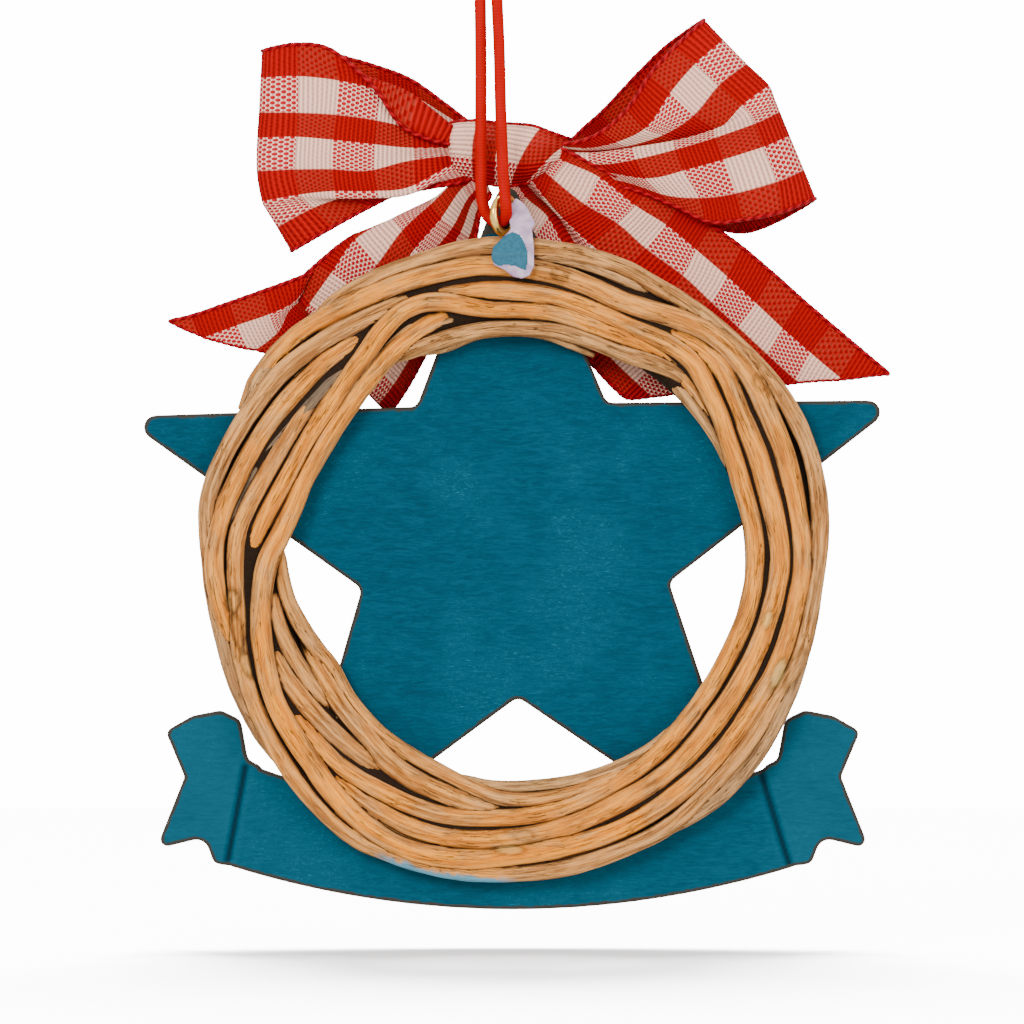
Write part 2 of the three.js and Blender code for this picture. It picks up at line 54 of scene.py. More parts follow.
# Sizes, as in the CAD model
HANG_DROP = 77.9
WREATH_X = 3.3
BUNDLE_MID = 34.0
BUNDLE_HALF = 7.4
CROWN_DEPTH = 3.0
CROWN_FALL = 0.72
FRONT_SHRINK = 0.93
STAR_DROP = 74.7
STAR_INNER = 20.25
STAR_TIP = 51.6
STAR_TOP_TIP = 46.1
STAR_LEAN = 1.2
TIP_ROUND = 1.5
CORNER_ROUND = 1.1
PLATE_BACK = 1.5
PLATE_THICK = 3.2
STAR_RIDGE = 1.5
BANNER_X = 3.1
BANNER_BOTTOM = 121.5
BANNER_CURVE = 118.0
BANNER_HEIGHT = 12.2
BANNER_HALF = 35.0
TAIL_BACK = 0.9
TAIL_THICK = 3.0
RING_X = 2.1
RING_DROP = 34.7
RING_Y = -0.6
RING_RADIUS = 2.2
RING_WIRE = 1.1
RING_TURN = 52
CORD_DIAMETER = 1.45

# Camera
CAMERA_FAR = 1.2
PICTURE_WIDE = 0.128

camera_data = bpy.data.cameras.new("camera")
camera_data.sensor_width = 36
camera_data.lens = 36 * CAMERA_FAR / PICTURE_WIDE
camera_data.clip_start = 0.05
camera_data.clip_end = 50
camera = bpy.data.objects.new("camera", camera_data)
camera.location = (0.003, -CAMERA_FAR, -0.07175)
camera.rotation_euler = (math.pi / 2, 0, 0)
bpy.context.scene.collection.objects.link(camera)
bpy.context.scene.camera = camera


# Lines and meshes
def smooth_line(points, step):
    """An even line through points, by the centripetal spline that the CAD model uses."""
    points = [Vector(p) for p in points]
    padded = [points[0] * 2 - points[1], *points, points[-1] * 2 - points[-2]]
    dense = []
    for a, b, c, d in zip(padded, padded[1:], padded[2:], padded[3:]):
        ta = max((b - a).length ** 0.5, 1e-4)
        tb = ta + max((c - b).length ** 0.5, 1e-4)
        td = tb + max((d - c).length ** 0.5, 1e-4)
        parts = 24
        for k in range(parts):
            t = ta + (tb - ta) * k / parts
            ab = a * ((ta - t) / ta) + b * (t / ta)
            bc = b * ((tb - t) / (tb - ta)) + c * ((t - ta) / (tb - ta))
            cd = c * ((td - t) / (td - tb)) + d * ((t - tb) / (td - tb))
            abc = ab * ((tb - t) / tb) + bc * (t / tb)
            bcd = bc * ((td - t) / (td - ta)) + cd * ((t - ta) / (td - ta))
            dense.append(abc * ((tb - t) / (tb - ta)) + bcd * ((t - ta) / (tb - ta)))
    dense.append(points[-1])
    run = [0.0]
    for a, b in zip(dense, dense[1:]):
        run.append(run[-1] + (b - a).length)
    count = max(3, round(run[-1] / step) + 1)
    line = []
    at = 0
    for k in range(count):
        want = run[-1] * k / (count - 1)
        while at < len(run) - 2 and run[at + 1] < want:
            at += 1
        gap = run[at + 1] - run[at]
        line.append(dense[at].lerp(dense[at + 1], (want - run[at]) / gap if gap else 0))
    return line, run[-1]


def grid_sheet(across, along, place, shell=False, uv=("cloth", lambda u, v: (u, v))):
    """A grid whose points go where place(u, v) says, u and v from 0 to 1.
    With shell it closes on itself across v and gets a cap at each end."""
    bm = bmesh.new()
    bmesh.ops.create_grid(bm, x_segments=along, y_segments=across, size=1)
    layer = bm.loops.layers.uv.new(uv[0])
    spots = {}
    for v in bm.verts:
        u = (v.co.x + 1) / 2
        w = (v.co.y + 1) / 2
        spots[v] = (u, w)
    for face in bm.faces:
        for loop in face.loops:
            loop[layer].uv = uv[1](*spots[loop.vert])
    for v, (u, w) in spots.items():
        v.co = place(u, w)
    if shell:
        bmesh.ops.remove_doubles(bm, verts=bm.verts, dist=1e-4)
        rims = [e for e in bm.edges if e.is_boundary]
        bmesh.ops.holes_fill(bm, edges=rims, sides=0)
    bmesh.ops.recalc_face_normals(bm, faces=bm.faces)
    return bm


def add_mesh(name, bm, material, body="root", smooth=True, scale=MM):
    mesh = bpy.data.meshes.new(name)
    bmesh.ops.scale(bm, vec=(scale,) * 3, verts=bm.verts)
    bm.to_mesh(mesh)
    bm.free()
    if smooth:
        mesh.shade_smooth()
    mesh.materials.append(material)
    made = bpy.data.objects.new(name, mesh)
    bpy.context.scene.collection.objects.link(made)
    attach(made, body)
    return made


def join(name, parts):
    """One object from several, under a new name."""
    with bpy.context.temp_override(active_object=parts[0], selected_editable_objects=parts):
        bpy.ops.object.join()
    parts[0].name = name
    parts[0].data.name = name
    return parts[0]


# Materials
class Nodes:
    """A few short words for building a material's nodes."""

    def __init__(self, name):
        self.material = bpy.data.materials.new(name)
        self.material.use_nodes = True
        self.tree = self.material.node_tree
        self.shader = self.tree.nodes["Principled BSDF"]

    def node(self, kind, **sockets):
        made = self.tree.nodes.new("ShaderNode" + kind)
        for key, value in sockets.items():
            self.set(made, key, value)
        return made

    def set(self, made, key, value):
        if hasattr(made, key) and not key[0].isupper():
            setattr(made, key, value)
            return
        socket = made.inputs[int(key[1:]) if key[0] == "i" and key[1:].isdigit() else key]
        self.feed(socket, value)

    def feed(self, socket, value):
        if isinstance(value, bpy.types.NodeSocket):
            self.tree.links.new(value, socket)
        elif isinstance(value, tuple) and len(value) == 3 and socket.type == "RGBA":
            socket.default_value = (*value, 1)
        else:
            socket.default_value = value

    def math(self, what, a, b=0.0, c=0.0, clamp=False):
        made = self.node("Math", operation=what)
        made.use_clamp = clamp
        for socket, value in zip(made.inputs, (a, b, c)):
            self.feed(socket, value)
        return made.outputs[0]

    def mix(self, how_much, a, b, blend="MIX"):
        made = self.node("Mix", data_type="RGBA", blend_type=blend)
        self.feed(made.inputs[0], how_much)
        self.feed(made.inputs[6], a)
        self.feed(made.inputs[7], b)
        return made.outputs[2]

    def step(self, value, low, high, to_low=0.0, to_high=1.0):
        made = self.node("MapRange", interpolation_type="SMOOTHSTEP")
        for key, number in enumerate((value, low, high, to_low, to_high)):
            self.feed(made.inputs[key], number)
        return made.outputs[0]

    def attribute(self, name):
        made = self.node("Attribute")
        made.attribute_name = name
        return made.outputs["Fac"]

    def place(self, scale=(1, 1, 1), uv=None, turn=(0, 0, 0)):
        mapping = self.node("Mapping")
        mapping.inputs["Scale"].default_value = scale
        mapping.inputs["Rotation"].default_value = turn
        if uv:
            source = self.node("UVMap")
            source.uv_map = uv
            self.feed(mapping.inputs[0], source.outputs[0])
        else:
            self.feed(mapping.inputs[0], self.node("TexCoord").outputs["Object"])
        return mapping.outputs[0]

    def noise(self, where, scale, detail=4.0, rough=0.55, distortion=0.0):
        made = self.node("TexNoise")
        for key, value in (("Vector", where), ("Scale", scale), ("Detail", detail),
                           ("Roughness", rough), ("Distortion", distortion)):
            self.feed(made.inputs[key], value)
        return made.outputs[0]

    def bump(self, height, distance, strength=1.0, normal=None):
        made = self.node("Bump")
        made.inputs["Strength"].default_value = strength
        made.inputs["Distance"].default_value = distance
        self.feed(made.inputs["Height"], height)
        if normal:
            self.feed(made.inputs["Normal"], normal)
        return made.outputs[0]

    def finish(self, color, roughness, normal=None, **constants):
        self.feed(self.shader.inputs["Base Color"], color)
        self.feed(self.shader.inputs["Roughness"], roughness)
        if normal:
            self.feed(self.shader.inputs["Normal"], normal)
        for key, value in constants.items():
            self.feed(self.shader.inputs[key.replace("_", " ")], value)
        return self.material


def cord_material():
    n = Nodes("satin_cord")
    where = n.place()
    wave = n.node("TexWave", Vector=where, Scale=820.0, Distortion=1.2)
    wave.bands_direction = "Z"
    wave.inputs["Detail"].default_value = 2.0
    soft = n.noise(n.place((900, 900, 120)), 1.0, 3.0)
    # Painted shade: the red a little darker in the low lines between the cross ribs
    color = n.mix(wave.outputs[1], (0.32, 0.0, 0.0), (0.38, 0.0, 0.0))
    color = n.mix(n.step(soft, 0.35, 0.7, 0, 0.35), color, (0.17, 0.0, 0.001))
    return n.finish(color, 0.5, n.bump(wave.outputs[1], 0.00003, 0.3), Specular_IOR_Level=0.03)


def gold_material():
    n = Nodes("gold_wire")
    scratch = n.noise(n.place((400, 400, 1500)), 1.0, 5.0)
    color = n.mix(n.step(scratch, 0.3, 0.7), (0.62, 0.34, 0.05), (0.86, 0.58, 0.16))
    return n.finish(color, n.step(scratch, 0.2, 0.8, 0.14, 0.32),
                    n.bump(scratch, 0.00002, 0.4), Metallic=1.0)


def glue_material():
    n = Nodes("dried_glue")
    cloud = n.noise(n.place(), 700.0, 3.0)
    paint = n.attribute("paint")
    lilac = n.mix(n.step(cloud, 0.3, 0.7), (0.30, 0.20, 0.30), (0.50, 0.38, 0.48))
    grain = n.noise(n.place(), 2600.0, 4.0)
    teal = n.mix(n.step(grain, 0.35, 0.7), (0.006, 0.070, 0.112), (0.012, 0.098, 0.150))
    edge = n.step(n.math("ADD", paint, n.math("MULTIPLY", grain, 0.25)), 0.56, 0.64)
    color = n.mix(edge, lilac, teal)
    return n.finish(color, n.step(edge, 0, 1, 0.22, 0.5), n.bump(grain, 0.00004, 0.35),
                    Subsurface_Weight=0.2, Subsurface_Scale=0.001, Specular_IOR_Level=0.25)


def teal_material():
    """Satin teal brushed on in short strokes, with unpainted dark resin along the edges, painted shade along the
    banner's crease lines and on the star's top tip, and a painted highlight band beside the creases.
    """
    n = Nodes("teal_paint")
    across = n.noise(n.place((230, 300, 1300), turn=(0, 0.25, 0)), 1.0, 6.0, 0.7, 1.8)
    slanted = n.noise(n.place((330, 300, 1700), turn=(0, -0.35, 0)), 1.0, 6.0, 0.75, 1.8)
    cloud = n.noise(n.place(), 60.0, 5.0, 0.6)
    strokes = n.math("ADD", n.math("MULTIPLY", across, 0.5), n.math("MULTIPLY", slanted, 0.5))
    color = n.mix(n.step(strokes, 0.36, 0.64), (0.0003, 0.030, 0.052), (0.0008, 0.054, 0.088))
    color = n.mix(n.step(cloud, 0.42, 0.62, 0, 0.4), color, (0.0006, 0.056, 0.090))
    gate = n.step(cloud, 0.46, 0.62)
    spark = n.noise(n.place((620, 600, 2700), turn=(0, 0.3, 0)), 1.0, 6.0, 0.8, 3.0)
    scratch = n.math("MULTIPLY", gate, n.step(spark, 0.55, 0.64, 0, 0.8))
    color = n.mix(scratch, color, (0.006, 0.130, 0.185))
    # Lighter teal: a little over the banner, more on the tails past the crease, and a painted highlight band beside the
    # crease
    color = n.mix(n.attribute("wear_and_highlight"), color, (0.006, 0.085, 0.125))
    # Painted shade: near-black teal along the banner's crease lines, where shade falls in the pressed line
    color = n.mix(n.attribute("crease_shade"), color, (0.0003, 0.015, 0.026))
    rim = n.attribute("rim")
    ragged = n.math("ADD", rim, n.math("MULTIPLY", n.math("SUBTRACT", n.noise(n.place(), 900.0), 0.5), 0.5))
    color = n.mix(n.step(ragged, 0.40, 0.62), color, (0.030, 0.026, 0.020))
    height = n.math("ADD", strokes, n.math("MULTIPLY", spark, 0.35))
    return n.finish(color, n.step(strokes, 0.3, 0.7, 0.42, 0.58), n.bump(height, 0.00022, 0.55),
                    Specular_IOR_Level=0.05)


def vine_material():
    """Painted bark: tan with ochre dry brushing on the high places, and dark wash with painted shade in the gaps
    between vines.
    """
    n = Nodes("vine_paint")
    streak = n.noise(n.place((0.10, 1.5, 1), uv="bark"), 1.0, 6.0, 0.66, 0.3)
    fine = n.noise(n.place((0.30, 7.5, 1), uv="bark"), 1.0, 6.0, 0.68, 0.15)
    patch = n.noise(n.place((0.16, 0.45, 1), uv="bark"), 1.0, 4.0, 0.6, 0.4)
    speck = n.noise(n.place(), 1500.0, 5.0, 0.7)
    tan = n.mix(n.step(streak, 0.38, 0.62), (0.200, 0.092, 0.032), (0.620, 0.310, 0.112))
    tan = n.mix(n.step(patch, 0.54, 0.72, 0, 0.6), tan, (0.660, 0.345, 0.125))
    ochre = n.mix(n.step(streak, 0.36, 0.62), (0.700, 0.185, 0.003), (1.000, 0.335, 0.006))
    wear = n.attribute("ochre")
    amount = n.math("MULTIPLY", wear, n.step(patch, 0.30, 0.58, 0.25, 1))
    color = n.mix(amount, tan, ochre)
    color = n.mix(n.step(fine, 0.55, 0.68, 0, 0.45), color, (1.000, 0.480, 0.090))
    color = n.mix(n.step(fine, 0.34, 0.47, 0.8, 0), color, (0.070, 0.030, 0.012))
    color = n.mix(n.math("MULTIPLY", n.attribute("grey"), n.step(fine, 0.25, 0.6, 0.5, 1)), color,
                  (0.125, 0.090, 0.060))
    cracks = n.noise(n.place((0.13, 2.6, 1), uv="bark"), 1.0, 3.0, 0.5, 0.6)
    line = n.step(n.math("ABSOLUTE", n.math("SUBTRACT", cracks, 0.5)), 0.0, 0.020, 1, 0)
    gate = n.step(n.noise(n.place((0.12, 0.5, 1), uv="bark"), 1.0), 0.50, 0.58)
    line = n.math("MULTIPLY", line, gate)
    color = n.mix(n.math("MULTIPLY", line, 0.8), color, (0.020, 0.009, 0.005))
    color = n.mix(n.step(speck, 0.64, 0.72, 0, 0.6), color, (0.045, 0.020, 0.009))
    # Dark wash and painted shade: near black where neighbouring vines close a place in
    groove = n.attribute("groove")
    color = n.mix(n.step(groove, 0.17, 0.60, 0, 0.97), color, (0.007, 0.0035, 0.002))
    mark = n.attribute("mark")
    color = n.mix(mark, color, (0.020, 0.008, 0.004))
    pale = n.attribute("pale")
    color = n.mix(pale, color, (0.74, 0.52, 0.16))
    color = n.mix(n.attribute("smear"), color, (0.110, 0.300, 0.390))
    height = n.math("SUBTRACT", n.math("ADD", n.math("MULTIPLY", streak, 0.6), n.math("MULTIPLY", fine, 0.6)),
                    n.math("MULTIPLY", line, 0.6))
    return n.finish(color, n.step(fine, 0.3, 0.7, 0.55, 0.78), n.bump(height, 0.00055, 0.9),
                    Specular_IOR_Level=0.08)


RIB = 4.3
YARN = 2.35
ROW_START = 25.0
ROW_PERIOD = 61.0
ROW_WHITE = 33.5
COLUMN_PERIOD = 78.0
COLUMN_WHITE = 37.0
RIBBON_WIDE = 205.0


def ribbon_material():
    """Gingham by its own yarns: ribs across the ribbon, red and cream in both directions, with painted shade in the
    valleys between ribs.
    """
    n = Nodes("gingham_ribbon")
    source = n.node("UVMap")
    source.uv_map = "cloth"
    split = n.node("SeparateXYZ", Vector=source.outputs[0])
    u, v = split.outputs[0], split.outputs[1]
    wobble = n.noise(n.place((0.03, 0.03, 1), uv="cloth"), 1.0, 2.0)
    rib_at = n.math("DIVIDE", n.math("ADD", u, n.math("MULTIPLY", wobble, 2.0)), RIB)
    rib_turn = n.math("MULTIPLY", rib_at, 2 * math.pi)
    rib = n.math("MULTIPLY_ADD", n.math("COSINE", rib_turn), 0.5, 0.5)
    odd = n.math("PINGPONG", n.math("FLOOR", rib_at), 1.0)
    yarn_turn = n.math("MULTIPLY_ADD", v, 2 * math.pi / (2 * YARN), n.math("MULTIPLY", odd, math.pi))
    yarn = n.math("MULTIPLY_ADD", n.math("COSINE", yarn_turn), 0.5, 0.5)
    row = n.math("FLOORED_MODULO", n.math("SUBTRACT", v, ROW_START), ROW_PERIOD)
    row_white = n.step(row, ROW_WHITE - 0.8, ROW_WHITE + 0.8, 1, 0)
    column = n.math("FLOORED_MODULO", u, COLUMN_PERIOD)
    column_white = n.step(column, COLUMN_WHITE - 0.8, COLUMN_WHITE + 0.8, 1, 0)
    cream = (1.0, 0.56, 0.42)
    red = (0.37, 0.0, 0.001)
    weft_red = (0.40, 0.004, 0.012)
    tint = n.noise(n.place((0.012, 0.02, 1), uv="cloth"), 1.0, 3.0)
    # Painted shade: the warp darker in the valleys between ribs
    rib_valley_shade = n.step(rib, 0.08, 0.50, 1, 0)
    warp = n.mix(row_white, red, cream)
    warp = n.mix(n.step(tint, 0.3, 0.7, 0, 0.16), warp, n.mix(row_white, (0.20, 0.0, 0.002), (0.80, 0.44, 0.30)))
    warp = n.mix(n.math("MULTIPLY", rib_valley_shade, 0.85), warp, n.mix(row_white, (0.16, 0.0, 0.0), (0.42, 0.22, 0.16)))
    weft = n.mix(column_white, weft_red, (0.80, 0.30, 0.16))
    dots = n.step(n.math("MULTIPLY", n.math("SUBTRACT", 1.25, n.math("MULTIPLY", rib, 0.55)), yarn), 0.30, 0.48)
    amount = n.math("MULTIPLY_ADD", column_white, 0.06,
                    n.math("MULTIPLY", row_white, n.math("SUBTRACT", 1.0, column_white)))
    color = n.mix(n.math("MULTIPLY", dots, amount), warp, weft)
    height = n.math("ADD", n.math("MULTIPLY", rib, 0.8), n.math("MULTIPLY", yarn, 0.35))
    return n.finish(color, 0.52, n.bump(height, 0.00026, 1.0), Specular_IOR_Level=0.03)


def selvedge_material():
    n = Nodes("ribbon_edge")
    where = n.place((1, 1, 1), uv="cloth")
    split = n.node("SeparateXYZ", Vector=where)
    turn = n.math("ADD", n.math("MULTIPLY", split.outputs[0], 2.1), n.math("MULTIPLY", split.outputs[1], 6.283))
    twist = n.math("MULTIPLY_ADD", n.math("SINE", turn), 0.5, 0.5)
    grain = n.noise(n.place(), 2600.0, 3.0)
    # Painted shade: the red edge darker between the turns of its twist
    color = n.mix(twist, (0.12, 0.0, 0.002), (0.32, 0.0, 0.005))
    color = n.mix(n.step(grain, 0.5, 0.75, 0, 0.3), color, (0.40, 0.002, 0.010))
    return n.finish(color, 0.5, n.bump(n.math("ADD", twist, n.math("MULTIPLY", grain, 0.3)), 0.00022, 0.8),
                    Specular_IOR_Level=0.05)


CORD = cord_material()
GOLD = gold_material()
GLUE = glue_material()
TEAL = teal_material()
VINE = vine_material()
CLOTH = ribbon_material()
EDGE = selvedge_material()

# Hanging cord
CORD_ROUTE = [
    (-1.1, 0.4, 0.7), (-1, 0.4, -6), (-0.9, 0.4, -14), (-0.9, 0.35, -22), (-0.9, 0.3, -28),
    (-0.85, 0.3, -31.6), (-0.6, 0.35, -33.4), (0, 0.3, -34.8), (0.9, 0, -35.5), (1.7, -0.8, -35.5),
    (2.2, -1.9, -35), (2.3, -2.8, -34), (2.15, -2.95, -32.8), (2, -2.5, -31.3), (1.85, -1.8, -28.5),
    (1.6, -0.9, -22), (1.4, -0.2, -14), (1.1, 0, -7), (0.9, 0.1, 0.7),
]
cord_line, cord_long = smooth_line(CORD_ROUTE, 0.35)


def cord_curve():
    data = bpy.data.curves.new("hanging_cord_satin", "CURVE")
    data.dimensions = "3D"
    data.bevel_depth = CORD_DIAMETER / 2 * MM
    data.bevel_resolution = 6
    data.use_fill_caps = True
    spline = data.splines.new("POLY")
    spline.points.add(len(cord_line) - 1)
    for point, place in zip(spline.points, cord_line):
        point.co = (*(place * MM), 1)
    spline.use_smooth = True
    data.materials.append(CORD)
    made = bpy.data.objects.new("hanging_cord_satin", data)
    bpy.context.scene.collection.objects.link(made)
    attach(made, "root")
    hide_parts("hanging_cord")
    return made


def tube(line, reach, sides, frame_axis=None, uv=("cloth", 1.0, 1.0, 0.0)):
    """A closed tube on an even line. reach(i, turn) is its radius there."""
    count = len(line)
    frames = []
    side = Vector(frame_axis) if frame_axis else None
    for i in range(count):
        ahead = line[min(i + 1, count - 1)] - line[max(i - 1, 0)]
        ahead.normalize()
        if side is None:
            side = ahead.orthogonal()
        held = Vector(frame_axis) if frame_axis else side
        normal = (held - ahead * held.dot(ahead)).normalized()
        if not frame_axis:
            side = normal
        frames.append((line[i], normal, ahead.cross(normal)))

    def place(u, v):
        i = min(round(u * (count - 1)), count - 1)
        turn = 2 * math.pi * v
        middle, out, over = frames[i]
        r = reach(i, turn)
        return middle + out * (r * math.cos(turn)) + over * (r * math.sin(turn))

    name, long, round_it, start = uv
    return grid_sheet(sides, count - 1, place, True, (name, lambda u, v: (u * long + start, v * round_it)))


def cord_knot():
    """The two ends of the cord tied together: a small overhand knot."""
    first, second, rise = cord_line[0], cord_line[-1], Vector((0, 0, 1))
    turns = [first - rise * 0.5, first + rise * 0.1]
    for k in range(3, 38):
        t = math.pi + 2 * math.pi * k / 40
        turns.append(Vector((-0.1 + 1.35 * math.sin(t) + 0.55 * math.sin(2 * t),
                             0.3 + 0.62 * math.sin(3 * t),
                             2.9 + 0.95 * math.cos(t) - 0.35 * math.cos(2 * t))))
    turns += [second + rise * 0.1, second - rise * 0.5]
    line, _ = smooth_line(turns, 0.22)
    last = len(line) - 1
    bm = tube(line, lambda i, turn: 0.6 * (1 if 0 < i < last else 0.7), 14)
    made = add_mesh("cord_knot_tied", bm, CORD)
    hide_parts("cord_knot")
    return made


cord = cord_curve()
knot = cord_knot()

# The vines, each as its width and its route: clock angle in degrees, distance out
# from the bundle's middle, rise above or below the bundle's crown.
VINES = {
    "main": (2.6, [(-61, 4.9, -1.8), (-50, 5.2, -0.9), (-45, 5.1, -0.5), (-40, 4.7, -0.2),
        (-30, 3.8, 0), (-20, 3.3, 0.1), (-8, 3.2, 0.1), (0, 2.6, 0), (8, 2.2, 0), (15, 1.6, 0),
        (22, 1.1, 0), (27, 1.4, 0.2), (33, 2.3, 0.4), (40, 3.3, 0.5), (45, 3.6, 0.5), (50, 3.5, 0.4),
        (55, 3.1, 0.3), (62, 2.5, 0.1), (70, 2.2, 0), (90, 2, 0), (100, 1.6, 0), (110, 1.3, 0),
        (120, 1, 0), (130, 1, 0), (140, 1.3, 0), (150, 1.6, 0), (160, 1.9, 0), (170, 2.2, 0.1),
        (180, 2.6, 0.3), (190, 3.7, 0.5), (200, 4.2, 0.6), (210, 3.7, 0.6), (220, 2.5, 0.6),
        (225, 1.7, 0.6), (230, 1.2, 0.6), (240, 0.5, 0.6), (250, -0.7, 0.6), (260, -1.9, 0.6),
        (270, -3.2, 0.6), (276, -4.5, 0.5), (284, -5.5, 0.3), (290, -5.7, 0.1), (300, -5.9, 0),
        (310, -5.7, -0.1), (320, -4.9, -0.3), (330, -3.6, -0.3), (337, -2.7, -0.4), (343, -2.1, -0.7),
        (351, -1.7, -1.9)]),
    "second": (2.3, [(-20, 0.9, -1.9), (-15, 0.5, -0.6), (-9, 0.2, -0.1), (0, -0.3, 0), (10, -0.7, 0),
        (20, -1.3, 0), (27, -1.4, 0), (35, -0.8, 0.2), (42, -0.6, 0.4), (50, -1.8, 0.4),
        (55, -2.5, 0.3), (60, -3.2, 0.2), (68, -3.8, 0), (85, -3.8, 0), (100, -4.1, 0), (112, -4.7, 0),
        (122, -4.9, 0), (132, -4.7, 0), (140, -4.3, 0), (150, -3.8, 0), (160, -3.2, 0), (170, -2.6, 0),
        (180, -2, 0), (190, -1.4, 0), (200, -1, 0), (210, -0.8, 0), (220, -0.6, 0), (228, -0.6, -0.2),
        (235, -0.5, -0.9), (243, -0.3, -2)]),
    "third": (2.6, [(28, 0.2, -1.8), (35, 0.5, -0.8), (42, 1.2, -0.2), (48, 1.1, 0), (54, 0.2, 0),
        (60, -0.5, 0), (70, -1, 0), (90, -0.9, 0), (105, -1.6, 0), (125, -2, 0), (145, -1.5, 0),
        (165, -0.6, 0), (175, 0, 0), (182, 0.6, 0), (190, 1.3, 0), (200, 1.6, -0.1), (210, 1.4, -0.2),
        (218, 1.2, -0.7), (227, 1, -1.9)]),
    "outer": (2.2, [(-40, 5.3, -1.8), (-30, 5.3, -0.7), (-20, 5.3, -0.2), (-8, 5.4, -0.1), (5, 5.2, 0),
        (20, 5, 0), (30, 4.6, -0.2), (40, 4.6, -0.6), (50, 4.9, -0.3), (60, 5.2, 0), (70, 5.3, 0),
        (80, 4.6, 0), (92, 3.8, 0), (108, 3.4, 0), (120, 2.8, 0), (130, 2.9, 0), (140, 3.4, 0),
        (150, 4.2, 0), (160, 4.4, 0), (170, 4.7, 0), (180, 4.9, 0), (190, 5.2, 0), (200, 5.6, 0),
        (210, 5.8, 0), (220, 5, 0), (230, 3.9, 0), (240, 3.1, 0), (250, 2.2, 0), (260, 1.2, 0),
        (270, 0.9, 0), (276, 0.6, 0), (282, -0.2, 0), (290, -1.2, -0.1), (300, -1.8, -0.4),
        (310, -1.8, -1), (319, -1.6, -1.9)]),
    "crest": (2.2, [(-93, -0.6, -2.4), (-88, -1.1, -1.2), (-84, -1.8, -0.4), (-79, -2.6, 0),
        (-75, -3.2, 0), (-68, -3.9, 0), (-60, -4.1, 0), (-50, -3.8, 0.1), (-40, -2.8, 0.3),
        (-35, -2, 0.5), (-30, -0.8, 0.6), (-25, 0.1, 0.7), (-20, 0.2, 0.7), (-15, -0.5, 0.6),
        (-10, -1.7, 0.4), (-5, -2.5, 0.2), (2, -2.6, 0), (10, -2.6, 0), (20, -3, 0), (28, -2.7, -0.3),
        (36, -2.3, -0.8), (45, -2.9, -0.9), (52, -3.4, -1.1), (60, -3.6, -1.9)]),
    "inner": (2, [(-32, -4.4, -1.6), (-24, -4.7, -0.3), (-10, -4.8, 0), (0, -4.8, 0), (10, -4.7, 0),
        (20, -4.9, 0), (28, -4.7, 0), (35, -3.8, 0), (41, -2.9, -0.5), (48, -2.4, -1.8)]),
    "hook": (2.4, [(250, 2.4, -1.9), (257, 2.9, -0.4), (264, 3.3, 0.3), (272, 3.4, 0.4),
        (280, 2.8, 0.3), (285, 2.2, 0.2), (292, 1.6, 0.1), (300, 1.1, 0), (310, 0.6, 0),
        (318, 0.3, -0.2), (325, -0.1, -1), (332, -0.3, -2)]),
    "shoulder": (2.4, [(226, 4.2, -1.6), (233, 4, -0.6), (240, 3.9, -0.5), (248, 3.8, -0.5),
        (256, 3.5, -0.8), (263, 3.6, -0.8), (270, 3.8, -0.5), (276, 4.4, -0.1), (282, 4.8, 0.1),
        (290, 4.5, 0.3), (300, 3.8, 0.3), (310, 3.3, 0.3), (320, 2.3, 0.2), (330, 1.5, -0.1),
        (336, 1.3, -0.6), (343, 1.1, -1.8)]),
    "lowLeft": (2.5, [(178, -3.2, -1.8), (186, -3, -0.6), (195, -3.5, 0), (205, -3.9, 0.1),
        (212, -4.4, 0.1), (220, -5.3, 0), (230, -5.7, 0), (238, -6, -0.1), (244, -6, -0.7),
        (250, -5.6, -1.8)]),
    "middleLeft": (2.4, [(206, -2.8, -2), (213, -3, -1.2), (220, -3, -0.2), (228, -2.8, 0),
        (236, -2.4, 0), (243, -2, -0.2), (249, -1.8, -0.9), (256, -1.6, -1.9)]),
    "slipLeft": (2, [(228, -4.8, -1.6), (235, -4.5, -0.6), (240, -4.3, 0), (246, -4, 0),
        (252, -3.7, -0.1), (259, -3.5, -0.5), (267, -3.3, -1.8)]),
    "innerLeft": (1.9, [(144, -4.4, -1.6), (152, -4.4, -0.4), (165, -4.2, -0.1), (176, -4.2, 0),
        (184, -4.5, 0), (190, -5.2, 0), (200, -6.2, 0), (208, -6.5, 0), (218, -6.8, 0), (230, -7.2, 0),
        (240, -7.6, 0), (246, -7, 0), (252, -6.3, 0), (260, -5.4, 0), (268, -4.8, -0.4),
        (276, -4.2, -1.7)]),
    "innerLow": (1.6, [(132, -5, -1.4), (142, -5, -0.4), (150, -5.2, 0), (160, -5.5, 0), (172, -5.7, 0),
        (186, -5.7, -0.3), (197, -6, -1.4)]),
    "outerRight": (2, [(98, 3.6, -1.7), (110, 3.7, -0.6), (118, 4.1, 0), (125, 4.6, 0), (132, 4.8, 0),
        (142, 4.8, -0.1), (158, 4.5, -1.7)]),
    "sunken": (2.2, [(268, 1.8, -1.9), (277, 1.6, -0.9), (286, 0.6, -0.8), (295, -0.4, -0.9),
        (304, -1.5, -0.7), (312, -1.8, -0.8), (320, -1.8, -1.1), (327, -1.4, -2.2)]),
    "thinTop": (1.3, [(-2, 4.3, -1.8), (6, 4.1, -0.6), (14, 3.9, -0.5), (22, 3.6, -0.6),
        (30, 3.6, -1.7)]),
    "lowRight": (1.6, [(38, -3.9, -1.9), (46, -4.3, -0.9), (53, -4.4, -0.8), (60, -4.4, -1),
        (70, -4.4, -1.9)]),
    "twig": (1.3, [(-26, -5.2, -1.8), (-18, -5.9, -1.2), (-8, -5.3, -1.3), (6, -5.3, -1.2),
        (14, -5.9, -1.1), (21, -6.4, -1.7)]),
}

